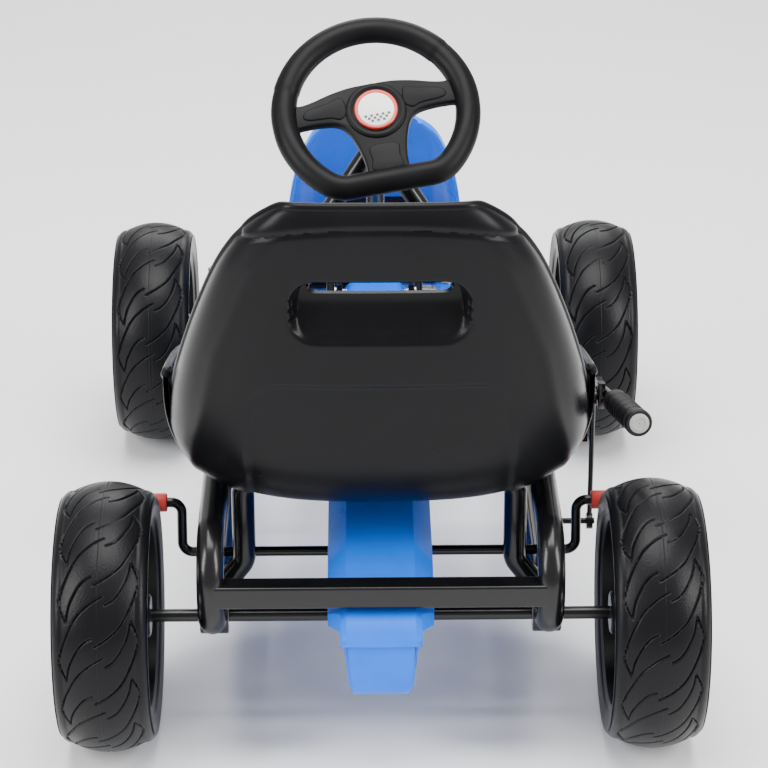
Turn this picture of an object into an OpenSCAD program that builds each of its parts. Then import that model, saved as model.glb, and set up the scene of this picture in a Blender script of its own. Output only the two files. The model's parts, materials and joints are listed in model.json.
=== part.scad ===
// Pedal go kart for a child: a tube frame, a bucket seat, a central chain drive,
// rack-free steering by two tie rods, and a hand brake on the rear tyres.
// +X is the rider's right, +Y is forward and +Z is up. The origin is on the floor,
// under the middle of the kart's length and width.

/* [Overall] */
// Distance from the rear axle to the front axle
wheelbase = 680; // [600:5:820]
// Distance between the middles of the left and right tyres
track = 502; // [470:2:620]
// Distance from the front axle to the front of the bumper
nose_reach = 173; // [150:1:210]

/* [Wheels] */
// Outer diameter of each tyre
tyre_d = 250; // [240:1:300]
// Width of each tyre
tyre_w = 86; // [70:1:104]
// How far the tread drops from its middle to its shoulder
tread_crown = 8.5; // [2:0.5:12]
// Radius of the tyre's shoulder
shoulder_r = 10; // [4:1:14]
// Diameter of the rim barrel that the tyre sits on
rim_d = 180; // [150:1:196]
// Thickness of the rim barrel and of its web
rim_wall = 4; // [3:0.5:6]
// Diameter of the wheel hub
hub_d = 40; // [30:1:48]
// Number of openings in the rim's web
rim_windows = 5; // [3:1:8]
// Diameter of the openings in the rim's web
rim_window_d = 34; // [16:1:38]
// Diameter of the rear axle and of the front stub axles
axle_d = 12; // [10:0.5:16]
// Radial clearance of a shaft that turns in its bush
shaft_gap = 0.05; // [0.02:0.01:0.1]

/* [Frame] */
// Diameter of the main frame tubes
rail_d = 25; // [20:0.5:28]
// Wall of the frame tubes
tube_wall = 2; // [1:0.25:3]
// Distance between the left and right frame tubes
rail_span = 308; // [280:1:316]
// Height of the lower end of each side loop above the floor
lower_rail_z = 131; // [126:1:140]
// Height of the floor rails ahead of the rear axle
floor_z = 96; // [90:1:98]
// Radius of the U-bend at the rear of each side loop
loop_r = 45; // [38:0.5:54]
// How far the middle of the U-bend lies behind the rear axle
loop_back = 10; // [0:1:14]
// Length of the side loops ahead of the rear axle
loop_reach = 392; // [360:1:420]
// Height and depth of the square rear cross bar
cross_bar = 22; // [16:1:24]
// Diameter of the thinner frame tubes
brace_d = 19; // [16:0.5:22]
// Diameter of the cup that holds each rear axle bush
cup_d = 34; // [32:1:44]
// Width of the cup that holds each rear axle bush
cup_w = 26; // [20:1:30]
// Height of the dropped middle of the front beam
beam_low_z = 112; // [104:1:118]
// Height of the raised ends of the front beam
beam_end_z = 164; // [158:1:170]

/* [Steering] */
// Distance between the two kingpins
kingpin_span = 359; // [350:1:372]
// Length of each kingpin sleeve
sleeve_len = 52; // [44:1:58]
// Length of the arm on each front knuckle
knuckle_arm = 64; // [52:1:70]
// Length of the arm at the foot of the steering column
pitman_arm = 25; // [22:1:28]
// Diameter of the steering column
column_d = 20; // [16:0.5:22]
// Width over the steering wheel's rim
wheel_w = 207; // [180:1:250]
// Thickness of the steering wheel's rim
grip_d = 26; // [20:0.5:30]
// Height of the steering wheel's middle
wheel_z = 501; // [480:1:530]
// Distance of the steering wheel's middle ahead of the rear axle
wheel_y = 340; // [320:1:360]
// Turn of the steering wheel on its column at rest, in degrees
wheel_clock = 11; // [-20:1:20]

/* [Drive] */
// Distance of the crank ahead of the rear axle
crank_reach = 530; // [510:1:540]
// Height of the crank above the floor
crank_z = 185; // [176:1:192]
// Length of each crank arm
crank_arm = 85; // [70:1:88]
// Diameter of the bent crank rod
crank_d = 14; // [12:0.5:16]
// Teeth on the crank sprocket, a multiple of four
crank_teeth = 24; // [20:4:24]
// Teeth on the rear sprocket, a multiple of four
axle_teeth = 12; // [12:4:16]
// Distance between two pins of the chain
chain_pitch = 12.7; // [9:0.1:12.7]
// Length of each pedal along its spindle
pedal_w = 68; // [56:1:70]
// Length of each pedal from back to front
pedal_l = 60; // [44:1:62]
// Thickness of each pedal
pedal_t = 24; // [20:1:28]

/* [Covers] */
// Width of the rear of the upper chain cover
cover_w = 98; // [90:1:112]
// Width of the front of the chain covers
cover_front_w = 66; // [56:1:68]
// Wall of the chain covers
cover_wall = 2.5; // [2:0.5:4]
// Wall of the nose fairing
fairing_wall = 4; // [3:0.5:6]
// Half width of the nose fairing at its widest
fairing_half = 96; // [80:1:104]

/* [Seat] */
// Width of the seat over its side bolsters
seat_w = 396; // [340:1:410]
// Height of the top of the seat's back
seat_top_z = 552; // [500:1:620]
// Wall of the moulded seat
seat_wall = 5; // [4:0.5:8]
// Length of the seat's base ahead of the rear axle
seat_reach = 318; // [290:1:340]
// Width of the handle slot in the seat's back
slot_w = 134; // [100:1:150]
// Height of the handle slot in the seat's back
slot_h = 26; // [20:1:32]

/* [Brake] */
// Diameter of the brake's cross rod
brake_rod_d = 10; // [8:0.5:12]
// Distance of the brake's cross rod ahead of the rear axle
brake_reach = 118; // [112:1:126]
// Gap between each brake pad and its tyre with the brake off
pad_gap = 5; // [4:0.5:7]
// Diameter of each brake pad sleeve
pad_d = 18; // [15:0.5:22]
// Length of the brake lever from its root to the end of its grip
lever_len = 158; // [120:1:165]
// Diameter of the brake lever's grip
lever_grip_d = 26; // [20:0.5:30]

/* [Hidden] */
$fn = 48;
bar_sides = 20;

axle_z = tyre_d / 2;
length_all = tyre_d / 2 + wheelbase + nose_reach;
rear_y = tyre_d / 2 - length_all / 2;
front_y = rear_y + wheelbase;
rail_x = rail_span / 2;
loop_y = rear_y - loop_back;
upper_rail_z = lower_rail_z + 2 * loop_r;
seat_rest_z = upper_rail_z + rail_d / 2;
crank_y = rear_y + crank_reach;
kingpin_x = kingpin_span / 2;
rest_gap = 0.3;

// Steering column: a line at 45 degrees in the middle plane
column_top = [0, rear_y + wheel_y, wheel_z];
column_dir = [0, 1, -1] / sqrt(2);
column_foot_len = (front_y + 52 - column_top[1]) * sqrt(2);
upper_bush_at = 86;
lower_bush_at = column_foot_len - 38;
bush_wall = 2;
housing_d = column_d + 2 * bush_wall + 4;

// ---- helpers ----
function unit(v) = v / norm(v);
function mix(a, b, t) = a + (b - a) * t;
function arc(c, r, from, to, steps) =
    [for (i = [0:steps]) let (a = mix(from, to, i / steps)) c + r * [cos(a), sin(a)]];
function spline(p0, p1, p2, p3, t) =
    0.5 * (2 * p1 + (p2 - p0) * t + (2 * p0 - 5 * p1 + 4 * p2 - p3) * t * t
        + (3 * p1 - p0 - 3 * p2 + p3) * t * t * t);

// Puts the local axes x, y and z on three directions at a place
module on_axes(x, y, z, at)
    multmatrix([
        [x[0], y[0], z[0], at[0]],
        [x[1], y[1], z[1], at[1]],
        [x[2], y[2], z[2], at[2]],
        [0, 0, 0, 1]
    ]) children();

// A cylinder, solid or bored, from one point to another
module rod(from, to, d, bore = 0) {
    along = unit(to - from);
    side = unit(cross(abs(along[2]) < 0.9 ? [0, 0, 1] : [1, 0, 0], along));
    on_axes(side, cross(along, side), along, from)
        difference() {
            cylinder(h = norm(to - from), d = d);
            if (bore > 0)
                translate([0, 0, -1]) cylinder(h = norm(to - from) + 2, d = bore);
        }
}

// Frames along a flat path with round bends: each is [middle, sideways, off the plane]
function path_frames(points, bend) =
    let (
        last = len(points) - 1,
        ways = [for (i = [0:last - 1]) unit(points[i + 1] - points[i])],
        off = unit(cross(ways[0], ways[1]))
    )
    concat(
        [[points[0], cross(off, ways[0]), off]],
        [for (i = [1:last - 1])
            let (
                way_in = ways[i - 1],
                turn = acos(max(-1, min(1, way_in * ways[i]))),
                inward = unit(ways[i] - way_in * (way_in * ways[i])),
                centre = points[i] - way_in * bend * tan(turn / 2) + inward * bend,
                steps = max(2, round(turn / 11))
            )
            for (k = [0:steps])
                let (a = turn * k / steps)
                [centre + bend * (way_in * sin(a) - inward * cos(a)),
                    cross(off, way_in * cos(a) + inward * sin(a)), off]],
        [[points[last], cross(off, ways[last - 1]), off]]
    );

// A round bar swept along frames, open with flat ends or closed on itself
module swept_bar(frames, d, sides, closed = false) {
    rings = len(frames);
    points = [for (f = frames, k = [0:sides - 1])
        f[0] + d / 2 * (f[1] * cos(k * 360 / sides) + f[2] * sin(k * 360 / sides))];
    function at(i, k) = (i % rings) * sides + (k % sides);
    walls = [for (i = [0:rings - (closed ? 1 : 2)], k = [0:sides - 1]) each [
        [at(i, k), at(i + 1, k), at(i + 1, k + 1)],
        [at(i, k), at(i + 1, k + 1), at(i, k + 1)]
    ]];
    ends = closed ? [] : [
        [for (k = [0:sides - 1]) k],
        [for (k = [sides - 1:-1:0]) (rings - 1) * sides + k]
    ];
    polyhedron(points = points, faces = concat(walls, ends), convexity = 8);
}

// A round bar that follows a flat path, with a bend of one radius at each inner point
module bent_bar(points, d, bend)
    swept_bar(path_frames(points, bend), d, bar_sides);

module mirrored_x(side) {
    if (side < 0) mirror([1, 0, 0]) children();
    else children();
}

// A hexagon nut or bolt head with its axis on +Z
module hex(across, h)
    cylinder(h = h, d = across / cos(30), $fn = 6);

// A curved shell made of bucket-shaped sections. Each section is
// [y, z, direction that its sides turn to, half width, depth of the sides].
module bucket_shell(sections, wall, flatness, steps_along, steps_across) {
    count = len(sections);
    dense = [for (i = [0:count - 2], s = [0:steps_along - 1])
        spline(sections[max(i - 1, 0)], sections[i], sections[i + 1],
            sections[min(i + 2, count - 1)], s / steps_along)];
    rows = concat(dense, [sections[count - 1]]);
    across = [for (j = [-steps_across:steps_across]) j / steps_across];
    function layer(row, inset) = [for (u = across)
        let (
            a = 90 * abs(u),
            x = (row[3] - inset) * pow(sin(a), 2 / flatness) * sign(u),
            deep = inset + (row[4] - inset) * (1 - pow(cos(a), 2 / flatness))
        )
        [x, row[0] + deep * cos(row[2]), row[1] + deep * sin(row[2])]];
    points = concat(
        [for (row = rows) each layer(row, 0)],
        [for (row = rows) each layer(row, wall)]
    );
    n = len(across);
    m = len(rows);
    function outer(i, j) = i * n + j;
    function inner(i, j) = m * n + i * n + j;
    faces = concat(
        [for (i = [0:m - 2], j = [0:n - 2]) each [
            [outer(i, j), outer(i, j + 1), outer(i + 1, j + 1)],
            [outer(i, j), outer(i + 1, j + 1), outer(i + 1, j)],
            [inner(i, j), inner(i + 1, j + 1), inner(i, j + 1)],
            [inner(i, j), inner(i + 1, j), inner(i + 1, j + 1)]
        ]],
        [for (i = [0:m - 2]) each [
            [outer(i, 0), outer(i + 1, 0), inner(i + 1, 0)],
            [outer(i, 0), inner(i + 1, 0), inner(i, 0)],
            [outer(i, n - 1), inner(i + 1, n - 1), outer(i + 1, n - 1)],
            [outer(i, n - 1), inner(i, n - 1), inner(i + 1, n - 1)]
        ]],
        [for (j = [0:n - 2]) each [
            [outer(0, j), inner(0, j), inner(0, j + 1)],
            [outer(0, j), inner(0, j + 1), outer(0, j + 1)],
            [outer(m - 1, j), inner(m - 1, j + 1), inner(m - 1, j)],
            [outer(m - 1, j), outer(m - 1, j + 1), inner(m - 1, j + 1)]
        ]]
    );
    polyhedron(points = points, faces = faces, convexity = 6);
}

// ---- frame ----
loop_land_y = rear_y + loop_reach + 0.6 * (upper_rail_z - floor_z);

module loop_path(side, d)
    bent_bar([
        [side * rail_x, rear_y, lower_rail_z],
        [side * rail_x, loop_y - loop_r, lower_rail_z],
        [side * rail_x, loop_y - loop_r, upper_rail_z],
        [side * rail_x, rear_y + loop_reach, upper_rail_z],
        [side * rail_x, loop_land_y, floor_z]
    ], d, loop_r);

module rail_path(side, d)
    bent_bar([
        [side * rail_x, rear_y, lower_rail_z],
        [side * rail_x, rear_y + 24, lower_rail_z],
        [side * rail_x, rear_y + 78, floor_z],
        [side * rail_x, front_y - 110, floor_z],
        [side * rail_x, front_y - 40, beam_end_z],
        [side * rail_x, front_y, beam_end_z]
    ], d, 1.2 * rail_d);

// The straight stretch of a lower rail near a bar that lands on it
module floor_rail_space(side, y)
    rod([side * rail_x, y - 30, floor_z], [side * rail_x, y + 30, floor_z], rail_d);

module cup_space(side)
    rod([side * (rail_x - cup_w), rear_y, axle_z], [side * (rail_x + cup_w), rear_y, axle_z], cup_d);

module side_loop(side)
    color("#141416")
        difference() {
            loop_path(side, rail_d);
            cup_space(side);
            rod([side * rail_x, loop_land_y - 3 * rail_d, floor_z], [side * rail_x, loop_land_y + rail_d, floor_z], rail_d);
        }
module side_loop_left() side_loop(-1);
module side_loop_right() side_loop(1);

module lower_rail(side)
    color("#141416")
        difference() {
            rail_path(side, rail_d);
            cup_space(side);
            rod([side * (rail_x - rail_d), front_y, beam_end_z],
                [side * (rail_x + rail_d), front_y, beam_end_z], rail_d);
        }
module lower_rail_left() lower_rail(-1);
module lower_rail_right() lower_rail(1);

module rear_cross_bar()
    color("#17171a")
        difference() {
            translate([-rail_x, loop_y - loop_r - cross_bar / 2, loop_r + lower_rail_z + 1 - cross_bar / 2])
                cube([2 * rail_x, cross_bar, cross_bar]);
            translate([-rail_x - 1, loop_y - loop_r - cross_bar / 2 + tube_wall,
                loop_r + lower_rail_z + 1 - cross_bar / 2 + tube_wall])
                cube([2 * rail_x + 2, cross_bar - 2 * tube_wall, cross_bar - 2 * tube_wall]);
            for (side = [-1, 1])
                loop_path(side, rail_d);
        }

hoop_y = rear_y + 97;
front_bar_y = rear_y + 250;
hoop_d = brace_d + 3;
hoop_z = seat_rest_z - hoop_d / 2;
hoop_x = rail_x - rail_d / 2 - 1;

// A transverse hoop that stands on the lower rails and carries the back of the seat
module seat_hoop()
    color("#141416")
        difference() {
            bent_bar([
                [-rail_x, hoop_y, floor_z + 4],
                [-hoop_x + hoop_d / 2, hoop_y, floor_z + 36],
                [-hoop_x + hoop_d / 2, hoop_y, hoop_z],
                [hoop_x - hoop_d / 2, hoop_y, hoop_z],
                [hoop_x - hoop_d / 2, hoop_y, floor_z + 36],
                [rail_x, hoop_y, floor_z + 4]
            ], hoop_d, 20);
            for (side = [-1, 1])
                floor_rail_space(side, hoop_y);
            seat_bolt_holes(hoop_y);
        }

// A straight bar between the side loops under the front of the seat
module seat_cross_bar()
    color("#141416")
        difference() {
            rod([-rail_x, front_bar_y, hoop_z], [rail_x, front_bar_y, hoop_z], hoop_d, hoop_d - 2 * tube_wall);
            for (side = [-1, 1])
                rod([side * rail_x, front_bar_y - 40, upper_rail_z],
                    [side * rail_x, front_bar_y + 40, upper_rail_z], rail_d);
            seat_bolt_holes(front_bar_y);
        }

floor_bar_y = rear_y + 386;

// A bar between the lower rails, which passes under the chain covers
module floor_cross_bar()
    color("#141416")
        difference() {
            rod([-rail_x, floor_bar_y, floor_z], [rail_x, floor_bar_y, floor_z], brace_d, brace_d - 2 * tube_wall);
            for (side = [-1, 1])
                floor_rail_space(side, floor_bar_y);
        }

sleeve_d = brace_d;
sleeve_low_z = 138;
sleeve_high_z = sleeve_low_z + sleeve_len;
sleeve_bore = axle_d + 2 * shaft_gap;

module beam_path()
    bent_bar([
        [-kingpin_x + 2, front_y, beam_end_z],
        [-rail_x + 28, front_y, beam_end_z],
        [-rail_x + 62, front_y, beam_low_z],
        [rail_x - 62, front_y, beam_low_z],
        [rail_x - 28, front_y, beam_end_z],
        [kingpin_x - 2, front_y, beam_end_z]
    ], rail_d, rail_d);

// The straight middle of the beam, which other pieces land on
module beam_space()
    rod([-rail_x + 70, front_y, beam_low_z], [rail_x - 70, front_y, beam_low_z], rail_d);

module front_beam()
    color("#141416")
        difference() {
            beam_path();
            for (side = [-1, 1])
                rod([side * kingpin_x, front_y, sleeve_low_z - 1],
                    [side * kingpin_x, front_y, sleeve_high_z + 1], sleeve_d);
        }

module kingpin_sleeves()
    color("#141416")
        for (side = [-1, 1])
            rod([side * kingpin_x, front_y, sleeve_low_z], [side * kingpin_x, front_y, sleeve_high_z],
                sleeve_d, sleeve_bore);

strut_top = column_top + column_dir * upper_bush_at;
strut_foot_y = rear_y + 370;

module strut(side)
    color("#0f0f11")
        difference() {
            rod([side * 6, strut_top[1], strut_top[2]], [side * rail_x, strut_foot_y, upper_rail_z],
                brace_d, brace_d - 2 * tube_wall);
            rod(strut_top - column_dir * 40, strut_top + column_dir * 40, housing_d);
            translate([side > 0 ? -50 : 0, strut_top[1] - 60, strut_top[2] - 60]) cube([50, 120, 120]);
            rod([side * rail_x, strut_foot_y - 60, upper_rail_z], [side * rail_x, strut_foot_y + 60, upper_rail_z], rail_d);
        }
module strut_left() strut(-1);
module strut_right() strut(1);

module column_tube()
    color("#0f0f11")
        rod(strut_top - column_dir * 26, strut_top + column_dir * 26, housing_d, column_d + 2 * bush_wall);

foot_at = column_top + column_dir * lower_bush_at;

// The lower steering bearing, which stands on the front beam on one plate
module column_foot()
    color("#141416")
        difference() {
            union() {
                rod(foot_at - column_dir * 13, foot_at + column_dir * 13, housing_d);
                translate([-4, 0, 0])
                    rotate([90, 0, 90])
                        linear_extrude(height = 8)
                            polygon([
                                [front_y - 8, beam_low_z], [front_y + 8, beam_low_z],
                                [foot_at[1] + 6, foot_at[2] - 4], [foot_at[1] - 8, foot_at[2] + 4]
                            ]);
            }
            rod(foot_at - column_dir * 30, foot_at + column_dir * 30, column_d + 2 * bush_wall);
            rod([-60, front_y, beam_low_z], [60, front_y, beam_low_z], rail_d);
        }

plate_x = 36;
plate_t = 6;
crank_bush_wall = 3;
screw_d = 5;
screw_z = crank_z + 49;

// Two plates from the floor bar to the front beam, which carry the crank
module crank_plates()
    color("#141416")
        difference() {
            for (side = [0, 1])
                mirror([side, 0, 0])
                    translate([plate_x, 0, 0])
                        rotate([90, 0, 90])
                            linear_extrude(height = plate_t)
                                polygon([
                                    [floor_bar_y, floor_z - 8], [crank_y, floor_z + 2],
                                    [front_y, beam_low_z - 10], [front_y, beam_low_z + 8],
                                    [crank_y + 60, floor_z + 30], [crank_y + 17, crank_z + 10],
                                    [crank_y + 9, crank_z + 60], [crank_y - 9, crank_z + 60],
                                    [crank_y - 17, crank_z + 10], [crank_y - 60, floor_z + 24],
                                    [floor_bar_y, floor_z + 8]
                                ]);
            rod([-60, floor_bar_y, floor_z], [60, floor_bar_y, floor_z], brace_d);
            rod([-60, front_y, beam_low_z], [60, front_y, beam_low_z], rail_d);
            rod([-60, crank_y, crank_z], [60, crank_y, crank_z], crank_d + 2 * crank_bush_wall);
            rod([-60, crank_y, screw_z], [60, crank_y, screw_z], screw_d + 0.4);
        }

bumper_y = front_y + nose_reach - rail_d / 2;

module bumper()
    color("#141416")
        difference() {
            bent_bar([
                [-60, front_y, beam_low_z],
                [-rail_x + 16, bumper_y - 42, beam_low_z],
                [-104, bumper_y, beam_low_z],
                [104, bumper_y, beam_low_z],
                [rail_x - 16, bumper_y - 42, beam_low_z],
                [60, front_y, beam_low_z]
            ], rail_d, 26);
            beam_space();
        }

axle_bush_wall = 3;
module bearing_cups()
    color("#1b1b1e")
        for (side = [-1, 1])
            rod([side * (rail_x - cup_w / 2), rear_y, axle_z], [side * (rail_x + cup_w / 2), rear_y, axle_z],
                cup_d, axle_d + 2 * axle_bush_wall);

// Nylon bushes for the rear axle, the crank and the steering column
module frame_bushes()
    color("#d8d6cf") {
        for (side = [-1, 1]) {
            rod([side * (rail_x - cup_w / 2), rear_y, axle_z], [side * (rail_x + cup_w / 2), rear_y, axle_z],
                axle_d + 2 * axle_bush_wall, axle_d + 2 * shaft_gap);
            rod([side * plate_x, crank_y, crank_z], [side * (plate_x + plate_t), crank_y, crank_z],
                crank_d + 2 * crank_bush_wall, crank_d + 2 * shaft_gap);
        }
        for (end = [-1, 1])
            rod(strut_top + column_dir * (end * 17 - 9), strut_top + column_dir * (end * 17 + 9),
                column_d + 2 * bush_wall, column_d + 2 * shaft_gap);
        rod(foot_at - column_dir * 13, foot_at + column_dir * 13, column_d + 2 * bush_wall, column_d + 2 * shaft_gap);
    }

// ---- seat ----
seat_low_z = seat_rest_z + rest_gap;
seat_high = seat_top_z - seat_low_z;
half = seat_w / 2;
bolster = 96;

// Sections from the top of the back, down the back and forward along the base
seat_sections = [
    [rear_y - 75, seat_top_z, -8, half * 0.50, 24],
    [rear_y - 77, seat_low_z + seat_high * 0.93, -6, half * 0.60, 46],
    [rear_y - 72, seat_low_z + seat_high * 0.78, -3, half * 0.72, 62],
    [rear_y - 62, seat_low_z + seat_high * 0.58, 0, half * 0.84, 76],
    [rear_y - 50, seat_low_z + seat_high * 0.36, 6, half * 0.93, 92],
    [rear_y - 34, seat_low_z + seat_high * 0.16, 18, half * 0.97, 112],
    [rear_y - 8, seat_low_z + seat_high * 0.035, 48, half * 0.985, 128],
    [rear_y + 34, seat_low_z, 76, half, 112],
    [rear_y + 110, seat_low_z, 88, half, bolster],
    [rear_y + 200, seat_low_z, 90, half * 0.98, 74],
    [rear_y + seat_reach - 36, seat_low_z + 1, 92, half * 0.93, 44],
    [rear_y + seat_reach, seat_low_z + 8, 96, half * 0.86, 20]
];
seat_bolt_x = 62;
bolt_d = 6;
bolt_hole_d = 6.6;
slot_z = seat_low_z + seat_high * 0.735;
slot_y = rear_y - 60;

module seat_bolt_holes(y)
    for (side = [-1, 1])
        rod([side * seat_bolt_x, y, hoop_z - 40], [side * seat_bolt_x, y, seat_low_z + 30], bolt_hole_d);

module seat()
    color("#131315")
        difference() {
            bucket_shell(seat_sections, seat_wall, 3, 3, 12);
            for (side = [-1, 1])
                rod([side * (slot_w - slot_h) / 2, slot_y - 60, slot_z],
                    [side * (slot_w - slot_h) / 2, slot_y + 60, slot_z], slot_h);
            translate([-(slot_w - slot_h) / 2, slot_y - 60, slot_z - slot_h / 2])
                cube([slot_w - slot_h, 120, slot_h]);
            seat_bolt_holes(hoop_y);
            seat_bolt_holes(front_bar_y);
        }

module seat_bolts()
    color("#b9babd")
        for (side = [-1, 1], y = [hoop_y, front_bar_y]) {
            rod([side * seat_bolt_x, y, hoop_z - hoop_d / 2 - 6], [side * seat_bolt_x, y, seat_low_z + seat_wall + 2], bolt_d);
            translate([side * seat_bolt_x, y, seat_low_z + seat_wall + 1.5]) cylinder(h = 4, d = 14);
            translate([side * seat_bolt_x, y, hoop_z - hoop_d / 2 - 5.2]) hex(10, 5);
        }

// ---- chain covers ----
cover_front_r = 60;
cover_front = [crank_y, crank_z];
split_rear = [rear_y - 82, 136];
split_front = [crank_y + cover_front_r + 2, crank_z - 6];

// The side outline of the covers, drawn in by an inset
function cover_top(in) = concat(
    [split_rear + [in, 0], [rear_y - 66 + in, 157 - in], [rear_y - 36, 164 - in],
        [rear_y + 6, 184 - in], [rear_y + 90, 191 - in]],
    arc(cover_front, cover_front_r - in, 99, -6, 14)
);
function cover_bottom(in) = concat(
    arc(cover_front, cover_front_r - in, -8, -84, 10),
    [[rear_y + 26, 73 + in]],
    arc([rear_y - 60, 91], 18 - in, 270, 180, 5)
);

module cover_plan(width, front_width, low, high)
    translate([0, 0, low])
        linear_extrude(height = high - low)
            polygon([
                [-width / 2, rear_y - 100], [width / 2, rear_y - 100],
                [width / 2, rear_y + 270], [front_width / 2, rear_y + 350],
                [front_width / 2, crank_y + 80], [-front_width / 2, crank_y + 80],
                [-front_width / 2, rear_y + 350], [-width / 2, rear_y + 270]
            ]);

module side_slab(outline, width)
    translate([-width / 2, 0, 0])
        rotate([90, 0, 90])
            linear_extrude(height = width) polygon(outline);

module cover_shaft_holes() {
    rod([-80, rear_y, axle_z], [80, rear_y, axle_z], axle_d + 8);
    rod([-80, crank_y, crank_z], [80, crank_y, crank_z], crank_d + 10);
    rod([-80, brake_y, brake_z], [80, brake_y, brake_z], brake_rod_d + 6);
    rod([-80, crank_y, screw_z], [80, crank_y, screw_z], screw_d + 0.4);
}

module upper_cover()
    color("#1f7fe0")
        difference() {
            intersection() {
                side_slab(cover_top(0), cover_w);
                cover_plan(cover_w, cover_front_w, 60, 260);
            }
            intersection() {
                side_slab(concat(cover_top(cover_wall), [split_front + [4, -40], split_rear + [0, -40]]),
                    cover_w - 2 * cover_wall);
                cover_plan(cover_w - 2 * cover_wall, cover_front_w - 2 * cover_wall, 40, 270);
            }
            cover_shaft_holes();
        }

lower_w = cover_w - 30;
module lower_cover()
    color("#1f7fe0")
        difference() {
            intersection() {
                side_slab(concat([[rear_y - 78, 135.6], [rear_y - 70, 143.6]], cover_bottom(0)), lower_w);
                cover_plan(lower_w, cover_front_w - 2 * cover_wall - 0.8, 40, 260);
            }
            intersection() {
                side_slab(concat([[rear_y - 78 + cover_wall, 160], split_front + [-2 - cover_wall, 30]],
                    cover_bottom(cover_wall)), lower_w - 2 * cover_wall);
                cover_plan(lower_w - 2 * cover_wall, cover_front_w - 4 * cover_wall - 0.8, 40, 260);
            }
            cover_shaft_holes();
        }

// ---- steering and front wheels, drawn for the right side ----
stub_z = axle_z;
wheel_x = track / 2;
hub_in = 38;
hub_out = 18;
stub_end = wheel_x + hub_out + 12;
arm_z = 114;
arm_t = 8;
tie_y = front_y + knuckle_arm;
rod_eye_d = 26;
rod_eye_t = 5;
rod_d = 8;
pin_d = 8;
tie_gap = 4.5;
pitman_half = 8;
pitman_t = 6;
pitman_lift = 3;
// Highest point that a corner of the column's foot arm reaches as it swings
pitman_top_z = column_top[2] + (norm([pitman_half, pitman_arm + pitman_half]) + pitman_lift + pitman_t
    - column_foot_len) / sqrt(2);
tie_low_z = pitman_top_z + rod_d / 2 + 1;

module knuckle(side)
    color("#1b1b1e")
        mirrored_x(side) {
            rod([kingpin_x, front_y, arm_z], [kingpin_x, front_y, sleeve_low_z - rest_gap], 24);
            rod([kingpin_x, front_y, arm_z + 2], [kingpin_x, front_y, sleeve_high_z + 16], axle_d);
            rod([kingpin_x, front_y, stub_z], [stub_end, front_y, stub_z], axle_d);
            rod([kingpin_x, front_y, stub_z], [wheel_x - hub_in - 1, front_y, stub_z], axle_d + 6);
            translate([kingpin_x - 9, front_y, arm_z]) cube([18, knuckle_arm, arm_t]);
            rod([kingpin_x, tie_y, arm_z], [kingpin_x, tie_y, arm_z + arm_t], 18);
            rod([kingpin_x, tie_y, arm_z + 1], [kingpin_x, tie_y, tie_z(side) + rod_eye_t / 2 + 5], pin_d);
        }

// The left rod runs just above the swinging arm, and the right rod's eye lies on the left one's
function tie_z(side) = tie_low_z + (side > 0 ? (rod_d + rod_eye_t) / 2 : 0);
module knuckle_left() knuckle(-1);
module knuckle_right() knuckle(1);

// A kingpin nut on its washer, and the nut that keeps the wheel on
module knuckle_nuts(side)
    color("#c9cacd")
        mirrored_x(side) {
            difference() {
                translate([kingpin_x, front_y, sleeve_high_z + rest_gap]) cylinder(h = 2.5, d = 24);
                rod([kingpin_x, front_y, sleeve_high_z - 2], [kingpin_x, front_y, sleeve_high_z + 30], axle_d + 0.02);
            }
            difference() {
                translate([kingpin_x, front_y, sleeve_high_z + rest_gap + 2.6]) hex(19, 10);
                rod([kingpin_x, front_y, sleeve_high_z - 2], [kingpin_x, front_y, sleeve_high_z + 30], axle_d + 0.02);
            }
            difference() {
                translate([wheel_x + hub_out + 0.6, front_y, stub_z]) rotate([0, 90, 0]) hex(19, 9);
                rod([wheel_x, front_y, stub_z], [wheel_x + 60, front_y, stub_z], axle_d + 0.02);
            }
        }
module knuckle_nuts_left() knuckle_nuts(-1);
module knuckle_nuts_right() knuckle_nuts(1);

function shoulder(side) = [for (a = [90:-15:15])
    [tyre_d / 2 - tread_crown - shoulder_r + shoulder_r * cos(a), side * (tyre_w / 2 - shoulder_r + shoulder_r * sin(a))]];
function reversed(list) = [for (i = [len(list) - 1:-1:0]) list[i]];

module tyre_ring()
    rotate_extrude($fn = 96)
        polygon(concat(
            [[rim_d / 2, -tyre_w / 2 + 5], [rim_d / 2 + 6, -tyre_w / 2 + 1.5], [rim_d / 2 + 16, -tyre_w / 2]],
            shoulder(-1),
            [for (i = [-8:8]) let (x = i / 8 * (tyre_w / 2 - shoulder_r))
                [tyre_d / 2 - tread_crown * pow(abs(i) / 8, 2), x]],
            reversed(shoulder(1)),
            [[rim_d / 2 + 16, tyre_w / 2], [rim_d / 2 + 6, tyre_w / 2 - 1.5], [rim_d / 2, tyre_w / 2 - 5]]
        ));

module tyre(side, y)
    color("#161617")
        translate([side * wheel_x, y, axle_z])
            rotate([0, side * 90, 0])
                tyre_ring();

module rim(side, y)
    color("#1a1a1c")
        translate([side * wheel_x, y, axle_z])
            rotate([0, side * 90, 0])
                difference() {
                    union() {
                        difference() {
                            translate([0, 0, -tyre_w / 2 + 5]) cylinder(h = tyre_w - 10, d = rim_d);
                            translate([0, 0, -tyre_w / 2]) cylinder(h = tyre_w, d = rim_d - 2 * rim_wall);
                        }
                        translate([0, 0, 6]) cylinder(h = rim_wall + 2, d = rim_d - rim_wall);
                        translate([0, 0, -hub_in]) cylinder(h = hub_in + hub_out, d = hub_d);
                    }
                    for (i = [0:rim_windows - 1])
                        rotate(i * 360 / rim_windows)
                            translate([(rim_d + hub_d) / 4 - 1, 0, 0])
                                cylinder(h = 40, d = rim_window_d, center = true);
                    translate([0, 0, -60]) cylinder(h = 120, d = axle_d + 2 * shaft_gap);
                }

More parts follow.
